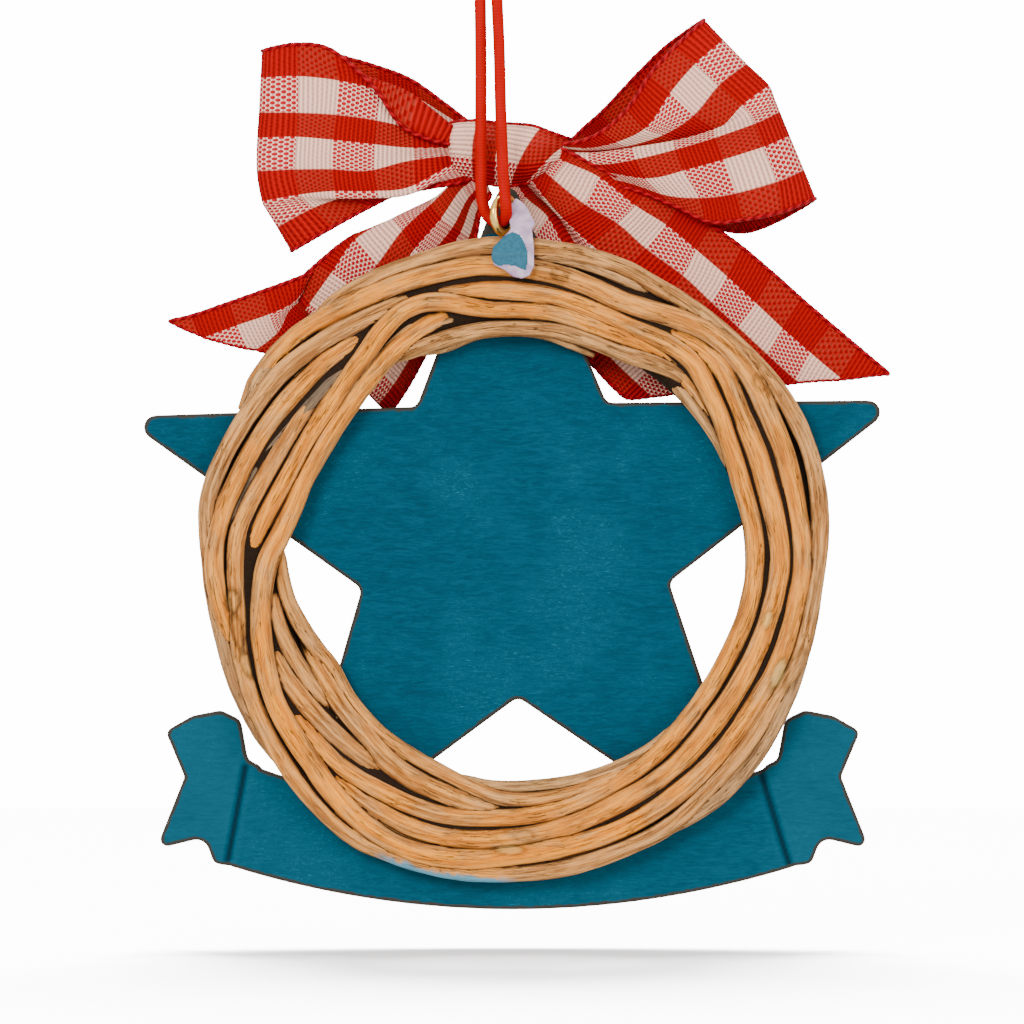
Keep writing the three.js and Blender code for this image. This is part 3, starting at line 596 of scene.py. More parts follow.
# Thin strands that lie in the grooves, on the back only.
STRANDS = {
    "strandLeft": (1.3, [(300, -5.4, -0.8), (310, -5.0, -0.6), (320, -4.0, -0.6), (330, -2.8, -0.6),
                         (337, -1.9, -0.9), (344, -2.0, -1.5)]),
    "strandInner": (1.2, [(325, -4.4, -0.9), (335, -3.4, -0.7), (343, -2.7, -0.7), (352, -3.4, -1.3)]),
}

# How much ochre a vine was dry brushed with, as (from, to, amount) by clock angle.
OCHRE = {
    "main": [(-70, 60, 0.55), (60, 140, 0.75), (140, 262, 1.0), (262, 360, 0.8)],
    "second": [(-20, 250, 0.8)], "third": [(20, 240, 0.8)], "crest": [(-100, 70, 0.85)],
    "hook": [(240, 340, 0.75)], "outer": [(-45, 40, 0.2), (40, 180, 0.25), (180, 330, 0.5)],
    "inner": [(-40, 60, 0.15)], "shoulder": [(220, 345, 0.25)], "lowLeft": [(170, 250, 0.5)],
    "innerLeft": [(140, 280, 0.45)],
    "middleLeft": [(200, 262, 0.55)],
    "slipLeft": [(220, 268, 0.4)]}
# Grey bare places, by vine and clock angle.
GREY = {"sunken": [(260, 320, 1.0)], "outerRight": [(90, 160, 0.25)], "shoulder": [(226, 262, 0.35)],
        "middleLeft": [(200, 250, 0.12)], "slipLeft": [(225, 268, 0.12)]}
FRONT_VINES = ["main", "second", "third", "outer", "crest", "innerLeft", "shoulder", "hook",
               "middleLeft", "slipLeft", "sunken"]

# Marks on the bark: clock angle, distance from the centre, half length along the
# vine, half width, and how dark, pale and raised they are.
MARKS = [
    (54, 303, 1.1, 0.8, 0.75, 0.0, 0.22), (9, 289, 1.1, 0.8, 0.7, 0.0, 0.2),
    (113, 286, 2.2, 0.8, 0.1, 0.5, -0.05), (103, 259, 1.3, 0.6, 0.1, 0.4, 0.0),
    (111, 300, 3.0, 0.8, 0.7, 0.0, 0.0), (138, 256, 1.5, 0.7, 0.35, 0.0, 0.2),
    (147, 258, 1.5, 0.7, 0.35, 0.0, 0.2), (178, 274, 1.4, 0.7, 0.6, 0.0, 0.2),
    (212, 241, 2.2, 1.0, 0.45, 0.0, 0.3), (262, 284, 1.6, 0.9, 0.9, 0.12, -0.06),
    (256, 285, 2.4, 0.8, 0.95, 0.0, -0.08), (249, 286, 1.8, 0.8, 0.9, 0.08, -0.06),
    (181, 288, 2.0, 0.6, 0.1, 0.3, 0.0), (31, 306, 0.7, 0.5, 0.6, 0.0, 0.1),
]


def crown_height(out):
    across = min(abs(out) / BUNDLE_HALF, 1)
    return CROWN_DEPTH * math.sqrt(1 - CROWN_FALL * across * across)


def on_clock(angle, radius):
    turn = math.radians(angle)
    return WREATH_X + radius * math.sin(turn), -HANG_DROP + radius * math.cos(turn)


def by_angle(table, name, angle):
    best = 0.0
    for low, high, amount in table.get(name, []):
        for whole in (angle - 360, angle, angle + 360):
            inside = min(whole - low, high - whole) / 8 + 0.5
            best = max(best, amount * min(max(inside, 0), 1))
    return best


def vine_line(wide, route, front, seed, step):
    points = []
    for k, (angle, out, rise) in enumerate(route):
        if k in (0, len(route) - 1):
            rise -= 0.7
        radius = BUNDLE_MID + out * (FRONT_SHRINK if front else 1)
        x, z = on_clock(angle, radius)
        height = crown_height(out) - wide / 2 + rise
        points.append(Vector((x, height if front else -height, z)))
    line, long = smooth_line(points, step)
    wander = []
    for i, p in enumerate(line):
        s = i * step
        drift = Vector((noise.noise(Vector((s / 11, seed, 1))), 0, noise.noise(Vector((s / 11, seed, 7)))))
        wander.append(p + drift * 0.16)
    return wander, long


def add_vine(name, wide, route, front, number, sides, step):
    seed = 13.7 * number + (400 if front else 0)
    line, long = vine_line(wide, route, front, seed, step)
    count = len(line)
    base = wide / 2 * 1.06

    def reach(i, turn):
        s = i * long / (count - 1)
        c, d = math.cos(turn), math.sin(turn)
        swell = 1 + 0.10 * noise.noise(Vector((s / 8, seed, 3))) + 0.05 * noise.noise(Vector((s / 2.6, seed, 5)))
        flat = 1 + 0.07 * noise.noise(Vector((c * 0.9 + seed, d * 0.9, s / 9)))
        ridge = 0.075 * noise.noise(Vector((c * 2.6 + seed, d * 2.6, s / 6)))
        fibre = 0.035 * noise.noise(Vector((c * 6.5, d * 6.5 + seed, s / 3.2)))
        crack = noise.noise(Vector((c * 3.4, d * 3.4 + seed, s / 9 + 4)))
        cut = -0.11 * max(0.0, 1 - abs(crack) / 0.07) * max(0.0, noise.noise(Vector((s / 7, seed, 9))) + 0.1)
        taper = min(1.0, 0.5 + 0.5 * min(s, long - s) / 3.5)
        return (base * swell * flat * taper) + (ridge + fibre + cut) * taper

    axis = (0, -1, 0) if front else (0, 1, 0)
    bm = tube(line, reach, sides, axis, uv=("bark", long, math.pi * wide, seed))
    made = add_mesh(name, bm, VINE)
    mesh = made.data
    ochre = mesh.attributes.new("ochre", "FLOAT", "POINT")
    grey = mesh.attributes.new("grey", "FLOAT", "POINT")
    sign = 1 if front else -1
    for v in mesh.vertices:
        x, z = v.co.x / MM - WREATH_X, v.co.z / MM + HANG_DROP
        angle = math.degrees(math.atan2(x, z))
        facing = max(0.0, v.normal.y * sign)
        ochre.data[v.index].value = by_angle(OCHRE, name.split(".")[-1], angle) * facing ** 0.8
        grey.data[v.index].value = by_angle(GREY, name.split(".")[-1], angle)
    return made


def mark_bark(made):
    """Knots and scars at their places on the back, raised or sunk a little."""
    mesh = made.data
    for word in ("mark", "pale", "smear"):
        mesh.attributes.new(word, "FLOAT", "POINT")
    dark, pale, smear = (mesh.attributes[word] for word in ("mark", "pale", "smear"))
    places = []
    for angle, pixels, long, wide, ink, light, rise in MARKS:
        x, z = on_clock(angle, pixels * PIXEL)
        places.append((x, z, math.radians(angle), long, wide, ink, light, rise))
    for v in mesh.vertices:
        x, y, z = v.co / MM
        if y > -1.0:
            continue
        ink_here = light_here = lift = 0.0
        turn_here = math.degrees(math.atan2(x - WREATH_X, z + HANG_DROP)) % 360
        if 179 < turn_here < 206:
            edge = 5.5 + 0.45 * min(max((turn_here - 188) / 7, 0), 1)
            out = math.hypot(x - WREATH_X, z + HANG_DROP) - BUNDLE_MID
            fade = min((turn_here - 179) / 4, (206 - turn_here) / 4, 1)
            wear_and_highlight = 0.5 * noise.noise(Vector((x * 1.2, z * 1.2, 9)))
            smear.data[v.index].value = min(max((out - edge + wear_and_highlight) / 0.25, 0), 1) * fade
        for mx, mz, turn, long, wide, ink, light, rise in places:
            dx, dz = x - mx, z - mz
            if abs(dx) > 4 or abs(dz) > 4:
                continue
            along = dx * math.cos(turn) - dz * math.sin(turn)
            across = dx * math.sin(turn) + dz * math.cos(turn)
            ragged = 0.25 * noise.noise(Vector((x * 1.6, z * 1.6, 2)))
            d = math.hypot(along / long, across / wide) + ragged
            if d < 1.5:
                core = max(0.0, 1 - d)
                ringed = max(0.0, 1 - abs(d - 0.9) / 0.4)
                if light:
                    light_here = max(light_here, light * min(1, core * 2.2))
                    ink_here = max(ink_here, max(ink, 0.6) * ringed)
                else:
                    ink_here = max(ink_here, ink * (0.45 * core + 0.8 * ringed))
                lift += rise * max(0.0, 1 - d / 1.3)
        dark.data[v.index].value = min(ink_here, 1)
        pale.data[v.index].value = min(light_here, 1)
        if lift:
            v.co += v.normal * lift * MM


back_parts = []
for number, (vine_name, (wide, route)) in enumerate({**VINES, **STRANDS}.items()):
    back_parts.append(add_vine("back." + vine_name, wide, route, False, number, 26, 0.40))
front_parts = []
for number, vine_name in enumerate(FRONT_VINES):
    wide, route = VINES[vine_name]
    front_parts.append(add_vine("front." + vine_name, wide, route, True, number, 16, 0.7))
back_vines = join("wreath_back_vines", back_parts)
front_vines = join("wreath_front_vines", front_parts)
for made in (back_vines, front_vines):
    made.data.uv_layers[0].name = "bark"
    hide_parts("wreath_star_casting")
mark_bark(back_vines)
for word in ("mark", "pale", "smear"):
    front_vines.data.attributes.new(word, "FLOAT", "POINT")


def core():
    """The middle of the bundle, which closes the gaps between the vines. It is near black all over: painted shade in
    those gaps together with the dark wash.
    """
    bm = bmesh.new()
    bmesh.ops.create_circle(bm, segments=20, radius=1)
    for v in bm.verts:
        v.co = Vector((BUNDLE_MID - 0.5 + v.co.x * 4.7, v.co.y * 2.2, 0))
    turned = bmesh.ops.spin(bm, geom=bm.verts[:] + bm.edges[:], cent=(0, 0, 0), axis=(0, 1, 0),
                            angle=2 * math.pi, steps=180, use_merge=True)
    bmesh.ops.remove_doubles(bm, verts=bm.verts, dist=1e-3)
    bmesh.ops.translate(bm, vec=(WREATH_X, 0, -HANG_DROP), verts=bm.verts)
    bmesh.ops.recalc_face_normals(bm, faces=bm.faces)
    made = add_mesh("wreath_core", bm, VINE)
    made.data.uv_layers.new(name="bark")
    # The core takes the full dark wash and painted shade, so it shows as shade in the gaps
    for word, amount in (("groove", 1.0), ("ochre", 0), ("grey", 0.4), ("mark", 0), ("pale", 0), ("smear", 0)):
        layer = made.data.attributes.new(word, "FLOAT", "POINT")
        layer.data.foreach_set("value", [amount] * len(made.data.vertices))
    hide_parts("wreath_star_casting")
    return made


wreath_core = core()


# Star and banner
def rounded(points, parts=6):
    """A polygon with its corners rounded by true arcs. Each point is (x, z, radius)."""
    out = []
    for i, (x, z, radius) in enumerate(points):
        here = Vector((x, z))
        back = Vector(points[i - 1][:2]) - here
        on = Vector(points[(i + 1) % len(points)][:2]) - here
        half = back.angle(on) / 2
        cut = min(radius / math.tan(half), back.length / 2.05, on.length / 2.05)
        radius = cut * math.tan(half)
        centre = here + (back.normalized() + on.normalized()).normalized() * (radius / math.sin(half))
        start = here + back.normalized() * cut - centre
        sweep = start.angle_signed(here + on.normalized() * cut - centre)
        for k in range(parts + 1):
            turned = start.copy()
            turned.rotate(Matrix.Rotation(-sweep * k / parts, 2))
            out.append(centre + turned)
    return out


def slab(outline, back, thick):
    bm = bmesh.new()
    face = bm.faces.new([bm.verts.new((p.x, back, p.y)) for p in outline])
    raised = bmesh.ops.extrude_face_region(bm, geom=[face])
    moved = [g for g in raised["geom"] if isinstance(g, bmesh.types.BMVert)]
    bmesh.ops.translate(bm, vec=(0, thick, 0), verts=moved)
    bmesh.ops.recalc_face_normals(bm, faces=bm.faces)
    return bm


def star_outline(tip=STAR_TIP, top=STAR_TOP_TIP, inner=STAR_INNER):
    points = []
    for arm in range(5):
        for reach, turn, radius in ((top if arm == 0 else tip, arm * 72, TIP_ROUND),
                                    (inner, arm * 72 + 36, CORNER_ROUND)):
            angle = math.radians(turn - STAR_LEAN)
            points.append((WREATH_X + reach * math.sin(angle), -STAR_DROP + reach * math.cos(angle), radius))
    return rounded(points)


def remeshed(made, voxel, rounds):
    """The same solid on an even fine mesh, its edges softened."""
    remesh = made.modifiers.new("even", "REMESH")
    remesh.mode = "VOXEL"
    remesh.voxel_size = voxel * MM
    remesh.use_smooth_shade = True
    smooth = made.modifiers.new("soft", "SMOOTH")
    smooth.iterations = rounds
    smooth.factor = 0.5
    graph = bpy.context.evaluated_depsgraph_get()
    mesh = bpy.data.meshes.new_from_object(made.evaluated_get(graph))
    made.modifiers.clear()
    old = made.data
    made.data = mesh
    bpy.data.meshes.remove(old)
    mesh.name = made.name
    return made


def star():
    bm = slab(star_outline(), PLATE_BACK, PLATE_THICK)
    front = max(bm.faces, key=lambda f: f.calc_center_median().y)
    bmesh.ops.inset_region(bm, faces=[front], thickness=1.6, use_even_offset=True)
    bmesh.ops.poke(bm, faces=[front])
    top = min(bm.verts, key=lambda v: (v.co - Vector((WREATH_X, PLATE_BACK + PLATE_THICK, -STAR_DROP))).length)
    top.co = Vector((WREATH_X, PLATE_BACK + PLATE_THICK + STAR_RIDGE, -STAR_DROP))
    made = add_mesh("star_plate", bm, TEAL)
    remeshed(made, 0.28, 2)
    paint_rim(made, 1.1)
    # Painted shade: the star's top tip above this row takes the dark edge colour, as shade under the glue, ring and bow
    tip_shade_row = -(233 + PICTURE_TOP) * PIXEL
    rim = made.data.attributes["rim"]
    for v in made.data.vertices:
        if v.co.z / MM > tip_shade_row:
            rim.data[v.index].value = 1
    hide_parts("wreath_star_casting")
    return made


def carve(made, top, low):
    """Presses a crease line into the back face from one point down to another, with painted shade along it and a
    painted highlight band beside it.
    """
    way = (low - top).normalized()
    long = (low - top).length
    for word in ("crease_shade", "wear_and_highlight"):
        if word not in made.data.attributes:
            made.data.attributes.new(word, "FLOAT", "POINT")
    crease_shade, wear_and_highlight = (made.data.attributes[word] for word in ("crease_shade", "wear_and_highlight"))
    outside = 1 if top.x > WREATH_X else -1
    for v in made.data.vertices:
        p = v.co / MM - top
        p.y = 0
        along = min(max(p.dot(way), 0), long)
        apart = (p - way * along).length
        if v.normal.y < -0.5 and apart < 1.6:
            v.co.y += MM * 0.4 * max(0, 1 - (apart / 0.62) ** 2)
        # Painted shade along the crease line itself
        if v.normal.y < 0 and apart < 0.6:
            crease_shade.data[v.index].value = min(max((0.42 - apart) / 0.24, 0), 1)
        # Lighter teal: a little everywhere, more on the tail side past the crease, and a painted highlight band about
        # 0.9 mm to each side of the crease
        beyond = (p.z * way.x - p.x * way.z) * outside
        here = 0.12
        if v.normal.y < 0.3:
            here += 0.2 * min(max(beyond / 1.5, 0), 1) + 0.12 * max(0, 1 - abs(abs(beyond) - 0.9) / 0.6)
        wear_and_highlight.data[v.index].value = max(wear_and_highlight.data[v.index].value, here)


def paint_rim(made, reach):
    """Marks the places near an edge, where the paint leaves the resin uncovered."""
    mesh = made.data
    sides = [v.co.copy() for v in mesh.vertices if abs(v.normal.y) < 0.45]
    tree = KDTree(len(sides))
    for i, place in enumerate(sides):
        tree.insert(place, i)
    tree.balance()
    rim = mesh.attributes.new("rim", "FLOAT", "POINT")
    rim.data.foreach_set("value", [max(0.0, 1 - tree.find(v.co)[2] / (reach * MM)) for v in mesh.vertices])


def banner_edge(x):
    across = x - BANNER_X
    return -BANNER_BOTTOM + BANNER_CURVE - math.sqrt(BANNER_CURVE ** 2 - across ** 2)


def banner():
    low, high = [], []
    for i in range(41):
        x = BANNER_X + BANNER_HALF * (i / 20 - 1)
        lean = (x - BANNER_X) / BANNER_CURVE
        low.append(Vector((x, banner_edge(x))))
        high.append(Vector((x - lean * BANNER_HEIGHT, banner_edge(x) + BANNER_HEIGHT)))
    parts = [add_mesh("banner_plate", slab(low + high[::-1], PLATE_BACK - 0.1, PLATE_THICK), TEAL)]
    for side in (-1, 1):
        inner = BANNER_X + side * BANNER_HALF
        foot = banner_edge(inner)
        h = BANNER_HEIGHT
        corners = [(-3.4, h + 0.4, 0.3), (-1.8, h + 1.2, 1), (-0.9, h + 6.2, 1.4), (1.6, h + 7.4, 1.4),
                   (5.2, h + 6.7, 2), (8.5, h + 4.8, 0.9), (6.1, h - 0.9, 0.5), (9.7, 2.2, 0.9),
                   (3.6, 3.7, 1.6), (2.4, 0.4, 1.2), (0, 0.1, 0.6), (-2.6, 1.2, 0.5)]
        points = [(inner + side * out, foot + up, r) for out, up, r in corners]
        if side > 0:
            points.reverse()
        parts.append(add_mesh("tail", slab(rounded(points), PLATE_BACK - 0.1, PLATE_THICK), TEAL))
    panel = join("banner_plate", parts)
    remeshed(panel, 0.24, 2)
    for top, low in (((245, 768), (227.6, 860)), ((759.4, 769), (789.3, 864))):
        carve(panel, spot(*top), spot(*low))
    paint_rim(panel, 0.9)
    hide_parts("wreath_star_casting")
    return panel


star_plate = star()
banner_plate = banner()


def shade_grooves(made, others, reach):
    """Marks how deep each place lies between its neighbours, where the dark wash settles and shade falls. The mark
    paints both in.
    """
    verts, faces = [], []
    for other in others:
        first = len(verts)
        verts.extend(v.co for v in other.data.vertices)
        faces.extend([first + i for i in p.vertices] for p in other.data.polygons)
    tree = BVHTree.FromPolygons(verts, faces)
    layer = made.data.attributes.get("groove") or made.data.attributes.new("groove", "FLOAT", "POINT")
    values = []
    for v in made.data.vertices:
        n = v.normal
        a = n.orthogonal().normalized()
        b = n.cross(a)
        start = v.co + n * 0.00006
        total = 0.0
        for way in (n, n + a * 1.3, n - a * 1.3, n + b * 1.3, n - b * 1.3):
            hit = tree.ray_cast(start, way.normalized(), reach)
            if hit[0] is not None:
                total += 1 - 0.6 * hit[3] / reach
        values.append(total / 5)
    layer.data.foreach_set("value", values)


shade_grooves(back_vines, [back_vines, star_plate, wreath_core], 0.0016)
shade_grooves(front_vines, [front_vines, star_plate, wreath_core], 0.0016)


# Jump ring and glue
def jump_ring():
    bm = bmesh.new()
    bmesh.ops.create_circle(bm, segments=20, radius=RING_WIRE / 2)
    bmesh.ops.translate(bm, vec=(RING_RADIUS, 0, 0), verts=bm.verts)
    bmesh.ops.rotate(bm, cent=(RING_RADIUS, 0, 0), matrix=Matrix.Rotation(math.pi / 2, 3, "X"), verts=bm.verts)
    bmesh.ops.spin(bm, geom=bm.verts[:] + bm.edges[:], cent=(0, 0, 0), axis=(0, 0, 1),
                   angle=2 * math.pi, steps=72, use_merge=True)
    bmesh.ops.remove_doubles(bm, verts=bm.verts, dist=1e-3)
    bmesh.ops.rotate(bm, cent=(0, 0, 0), matrix=Matrix.Rotation(math.pi / 2, 3, "X"), verts=bm.verts)
    bmesh.ops.rotate(bm, cent=(0, 0, 0), matrix=Matrix.Rotation(math.radians(RING_TURN), 3, "Z"), verts=bm.verts)
    bmesh.ops.translate(bm, vec=(RING_X, RING_Y, -RING_DROP), verts=bm.verts)
    bmesh.ops.recalc_face_normals(bm, faces=bm.faces)
    made = add_mesh("jump_ring_gold", bm, GOLD)
    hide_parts("jump_ring")
    return made


GLUE_OUTLINE = [(515.7, 198), (523, 203), (527.6, 208.6), (531, 216), (535.7, 223.8), (532, 230), (534, 247.6),
                (534, 267), (529.8, 276), (522, 279.5), (513, 277.5), (505, 271), (494, 266), (491.2, 258),
                (493, 248), (503.8, 237), (511, 230), (509, 220), (508.5, 208)]
PAINT_PATCH = [(490, 254), (492.4, 247.6), (503.8, 236.8), (512.4, 232.4), (520, 235.7), (525.4, 245.4),
               (528, 255), (526.5, 270.4), (523.3, 270.4), (515.7, 267), (506, 265.5), (498.3, 267), (491.8, 261.7)]


def inside(x, y, outline):
    hit = False
    for (ax, ay), (bx, by) in zip(outline, outline[1:] + outline[:1]):
        if (ay > y) != (by > y) and x < (bx - ax) * (y - ay) / (by - ay) + ax:
            hit = not hit
    return hit


def glue():
    outline = [Vector((spot(x, y).x, spot(x, y).z)) for x, y in GLUE_OUTLINE]
    made = add_mesh("glue_dab_dried", slab(outline, -3.0, 2.4), GLUE)
    remeshed(made, 0.13, 14)
    top = outline[0].y
    paint = made.data.attributes.new("paint", "FLOAT", "POINT")
    for v in made.data.vertices:
        below = min(max(top - v.co.z / MM, 0), 7)
        v.co.y += (1.7 - 0.42 * below) * MM
        column = v.co.x / MM / PIXEL + PICTURE_X
        row = -v.co.z / MM / PIXEL - PICTURE_TOP
        near = v.normal.y < 0.25
        paint.data[v.index].value = 1.0 if near and inside(column, row, PAINT_PATCH) else 0.0
        if paint.data[v.index].value:
            v.co.y -= 0.12 * MM
    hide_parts("glue_dab")
    return made


jump_ring()
glue()


# Ribbon. A net gives places in the picture, by row across the ribbon and column
# along it, each with a depth. Numbers along and across are in picture pixels.
def through(a, b, c, d, t):
    return 0.5 * ((2 * b) + (c - a) * t + (2 * a - 5 * b + 4 * c - d) * t * t + (3 * b - a - 3 * c + d) * t ** 3)


class Net:
    def __init__(self, across, columns):
        self.across = across
        self.along = [c[0] for c in columns]
        self.points = []
        for _, depth, places in columns:
            depths = depth if isinstance(depth, (list, tuple)) else [depth] * len(places)
            self.points.append([spot(x, y, d) for (x, y), d in zip(places, depths)])

    @staticmethod
    def find(marks, value):
        i = 0
        while i < len(marks) - 2 and (marks[i + 1] - value) * (1 if marks[-1] > marks[0] else -1) < 0:
            i += 1
        return i, (value - marks[i]) / (marks[i + 1] - marks[i])

    def at(self, u, v):
        i, s = self.find(self.along, u)
        j, t = self.find(self.across, v)
        last_i, last_j = len(self.along) - 1, len(self.across) - 1
        rows = []
        for k in (i - 1, i, i + 1, i + 2):
            column = self.points[min(max(k, 0), last_i)]
            four = [column[min(max(m, 0), last_j)] for m in (j - 1, j, j + 1, j + 2)]
            rows.append(through(*four, t))
        return through(*rows, s)


cloth_parts = []
edge_parts = []


def ribbon_piece(name, net, u_from, u_to, v_from=0.0, v_to=RIBBON_WIDE, shift=0.0, ends=(), step=3.2, edges="both",
                 lay=None):
    """u_to may be a function of v, where the ribbon is cut on a slant."""
    finish = u_to if callable(u_to) else (lambda v: u_to)
    lay = lay or (lambda a, b: (a + shift, b))
    longest = max(abs(finish(v) - u_from) for v in (v_from, (v_from + v_to) / 2, v_to))
    along = max(8, round(longest / step))
    across = max(6, round((v_to - v_from) / 4.2))

    def where(u, w):
        v = v_from + (v_to - v_from) * w
        return u_from + (finish(v) - u_from) * u, v

    bm = grid_sheet(across, along, lambda u, w: net.at(*where(u, w)),
                    uv=("cloth", lambda u, w: lay(*where(u, w))))
    cloth_parts.append(add_mesh("ribbon." + name, bm, CLOTH))
    lines = []
    if edges in ("both", "low"):
        lines.append([net.at(*where(k / along, 0)) for k in range(along + 1)])
    if edges in ("both", "high"):
        lines.append([net.at(*where(k / along, 1)) for k in range(along + 1)])
    for number, points in enumerate(lines):
        line, long = smooth_line(points, 0.22)
        last = len(line) - 1
        seed = len(edge_parts) * 3.1

        def reach(i, turn, last=last, seed=seed):
            end = min(1.0, 0.45 + min(i, last - i) / 5)
            wave = 0.10 * math.sin(2 * math.pi * i * 0.22 / 0.92 + turn)
            return 0.27 * end * (1 + wave + 0.15 * noise.noise(Vector((i * 0.2, seed, 0))))

        edge_parts.append(add_mesh("edge.%s%d" % (name, number),
                                   tube(line, reach, 8, uv=("cloth", long * 2.2, 1.0, 0)), EDGE))
    if "cut" in ends:
        points = [net.at(*where(1, k / across)) for k in range(across + 1)]
        line, long = smooth_line(points, 0.3)
        edge_parts.append(add_mesh("edge.%scut" % name,
                                   tube(line, lambda i, turn: 0.20 + 0.05 * math.sin(i * 2.1 + turn), 6,
                                        uv=("cloth", long * 2.2, 1.0, 0)), EDGE))


LEFT_ROWS = [0, 12, 25, 58, 85, 120, 147, 158, 180, 205]


def deep(base, flap=False, lower=False):
    d = [base] * 10
    if flap:
        d[0], d[1], d[2] = base - 0.9, base - 0.25, base + 0.15
    if lower:
        d[7], d[8], d[9] = base - 0.1, base + 1.0, base + 1.5
    return d


LEFT_LOOP = Net(LEFT_ROWS, [
    (-215, 8.4, [(470, 121), (470, 124), (470, 128), (470, 136), (470, 142), (470, 150), (470, 158), (470, 162), (470, 166), (468, 170)]),
    (-185, 9.8, [(441, 98), (441, 104), (442, 110), (442, 124), (443, 136), (444, 150), (444, 162), (445, 166), (445, 174), (445, 181)]),
    (-148, 11.0, [(408, 75), (408, 82), (409, 90), (410, 108), (410, 124), (411, 143), (411, 160), (411, 166), (412, 178), (412, 188)]),
    (-111, 11.5, [(369, 60.4), (370, 69), (371, 78), (372, 100), (374, 118), (376, 142), (378, 162), (379, 170), (380, 185), (380, 196)]),
    (-74, 11.5, [(326.5, 49), (328, 59), (330, 70), (334, 96), (337, 116), (341, 144), (345, 168), (346, 177), (348, 194), (350, 208)]),
    (-37, 10.9, [(291, 43.4), (292, 56), (293, 70), (296, 99), (300, 124), (305, 156), (309, 180), (311, 190), (315, 210), (320, 228)]),
    (0, 7.8, [(261, 48), (260.3, 62), (259.6, 75), (258, 108.4), (256.3, 134), (255.7, 168), (260.6, 198), (265.5, 208), (276, 225), (290, 249)]),
    (37, deep(4.7), [(295.5, 42.4), (295.5, 58), (295.5, 74.5), (295.5, 110.4), (293.9, 134.5), (292.2, 168.2), (297.8, 193.3), (301, 197.5), (310, 207), (330, 227)]),
    (74, deep(3.7, False, True), [(331.4, 49), (333.5, 64), (336.3, 79), (333.7, 112.7), (330.8, 137.8), (329.8, 168.2), (332.4, 190), (333, 197), (340, 196), (366, 207)]),
    (111, deep(3.5, True, True), [(373.9, 86.5), (376, 78.5), (374, 88), (370.6, 117.6), (368.3, 142), (367.3, 169.8), (370.6, 190), (372.2, 197), (375, 184), (405, 188)]),
    (148, deep(4.2, True, True), [(403, 125.7), (411, 93), (409, 104), (406.5, 125.7), (406.5, 146), (406.5, 160), (408, 186), (409.8, 192.7), (412, 184), (418, 187)]),
    (185, deep(5.4, True), [(447, 142), (456, 127), (452, 131), (449, 138), (448, 146), (450, 154), (452, 163), (453, 170), (457, 176), (459, 181)]),
    (215, deep(6.4), [(478, 138), (480, 134), (479, 136), (478, 142), (478, 148), (478, 154), (478, 160), (478, 164), (478, 168), (478, 172)]),
])

RIGHT_ROWS = [0, 25, 58, 85, 101, 120, 147, 180, 205]


def pleat(base):
    return [base + 0.5, base + 0.3, base + 0.4, base + 0.9, base - 0.25, base - 0.05, base, base, base + 0.1]


RIGHT_LOOP = Net(RIGHT_ROWS, [
    (-215, 8.4, [(545, 141), (547, 144), (550, 148), (552, 152), (554, 155), (556, 158), (560, 162), (566, 166), (572, 170)]),
    (-185, 9.6, [(568, 139), (574, 144), (582, 151), (588, 157), (592, 161), (598, 166), (608, 173), (622, 181), (634, 187)]),
    (-148, 11.0, [(585, 124), (594, 133), (606, 145), (616, 154), (622, 160), (630, 168), (643, 181), (660, 196), (674, 207)]),
    (-111, 11.6, [(605, 106), (617, 119), (633, 136), (646, 149), (654, 157), (664, 168), (680, 184), (699, 206), (714, 224)]),
    (-74, 11.6, [(636, 73), (650, 90), (669, 113), (684, 131), (692, 142), (702, 156), (716, 177), (733, 204), (748, 229)]),
    (-37, 10.9, [(667, 43), (684, 63), (705, 91), (720, 114), (728, 127), (738, 144), (751, 168), (766, 197), (782, 217)]),
    (0, 7.9, [(705, 17), (724, 37), (747, 61), (769, 82), (775, 96), (781, 111), (791, 135), (805, 168), (817, 196.5)]),
    (37, pleat(4.8), [(676, 45), (697, 61), (720, 82), (743, 102), (752, 112), (757, 122), (766, 145), (779, 179), (784, 210)]),
    (74, pleat(3.8), [(651, 73), (672, 90), (695, 112), (719, 128), (717, 128), (718, 136), (726, 158), (738, 191), (746, 218)]),
    (111, pleat(3.6), [(631, 104), (649, 124), (668, 131), (686, 138), (681, 139), (682, 147), (690, 168), (705, 196), (711, 221)]),
    (148, pleat(4.2), [(606, 128), (622, 139), (633, 143), (645, 147), (640, 146), (643, 157), (652, 177), (668, 194), (676, 205)]),
    (185, pleat(5.2), [(580, 140), (590, 146), (596, 148), (603, 151), (600, 152), (603, 163), (615, 172), (625, 180), (633, 188)]),
    (222, 6.3, [(556, 142), (558, 144), (560, 146), (562, 150), (563, 154), (565, 158), (568, 164), (572, 172), (576, 178)]),
])

TAIL_ROWS = [0, 25, 58, 85, 120, 147, 180, 205]


def tuck(base, amount):
    return [base, base, base, base - 0.1, base + amount, base + amount, base + amount * 0.4, base + amount * 0.4]


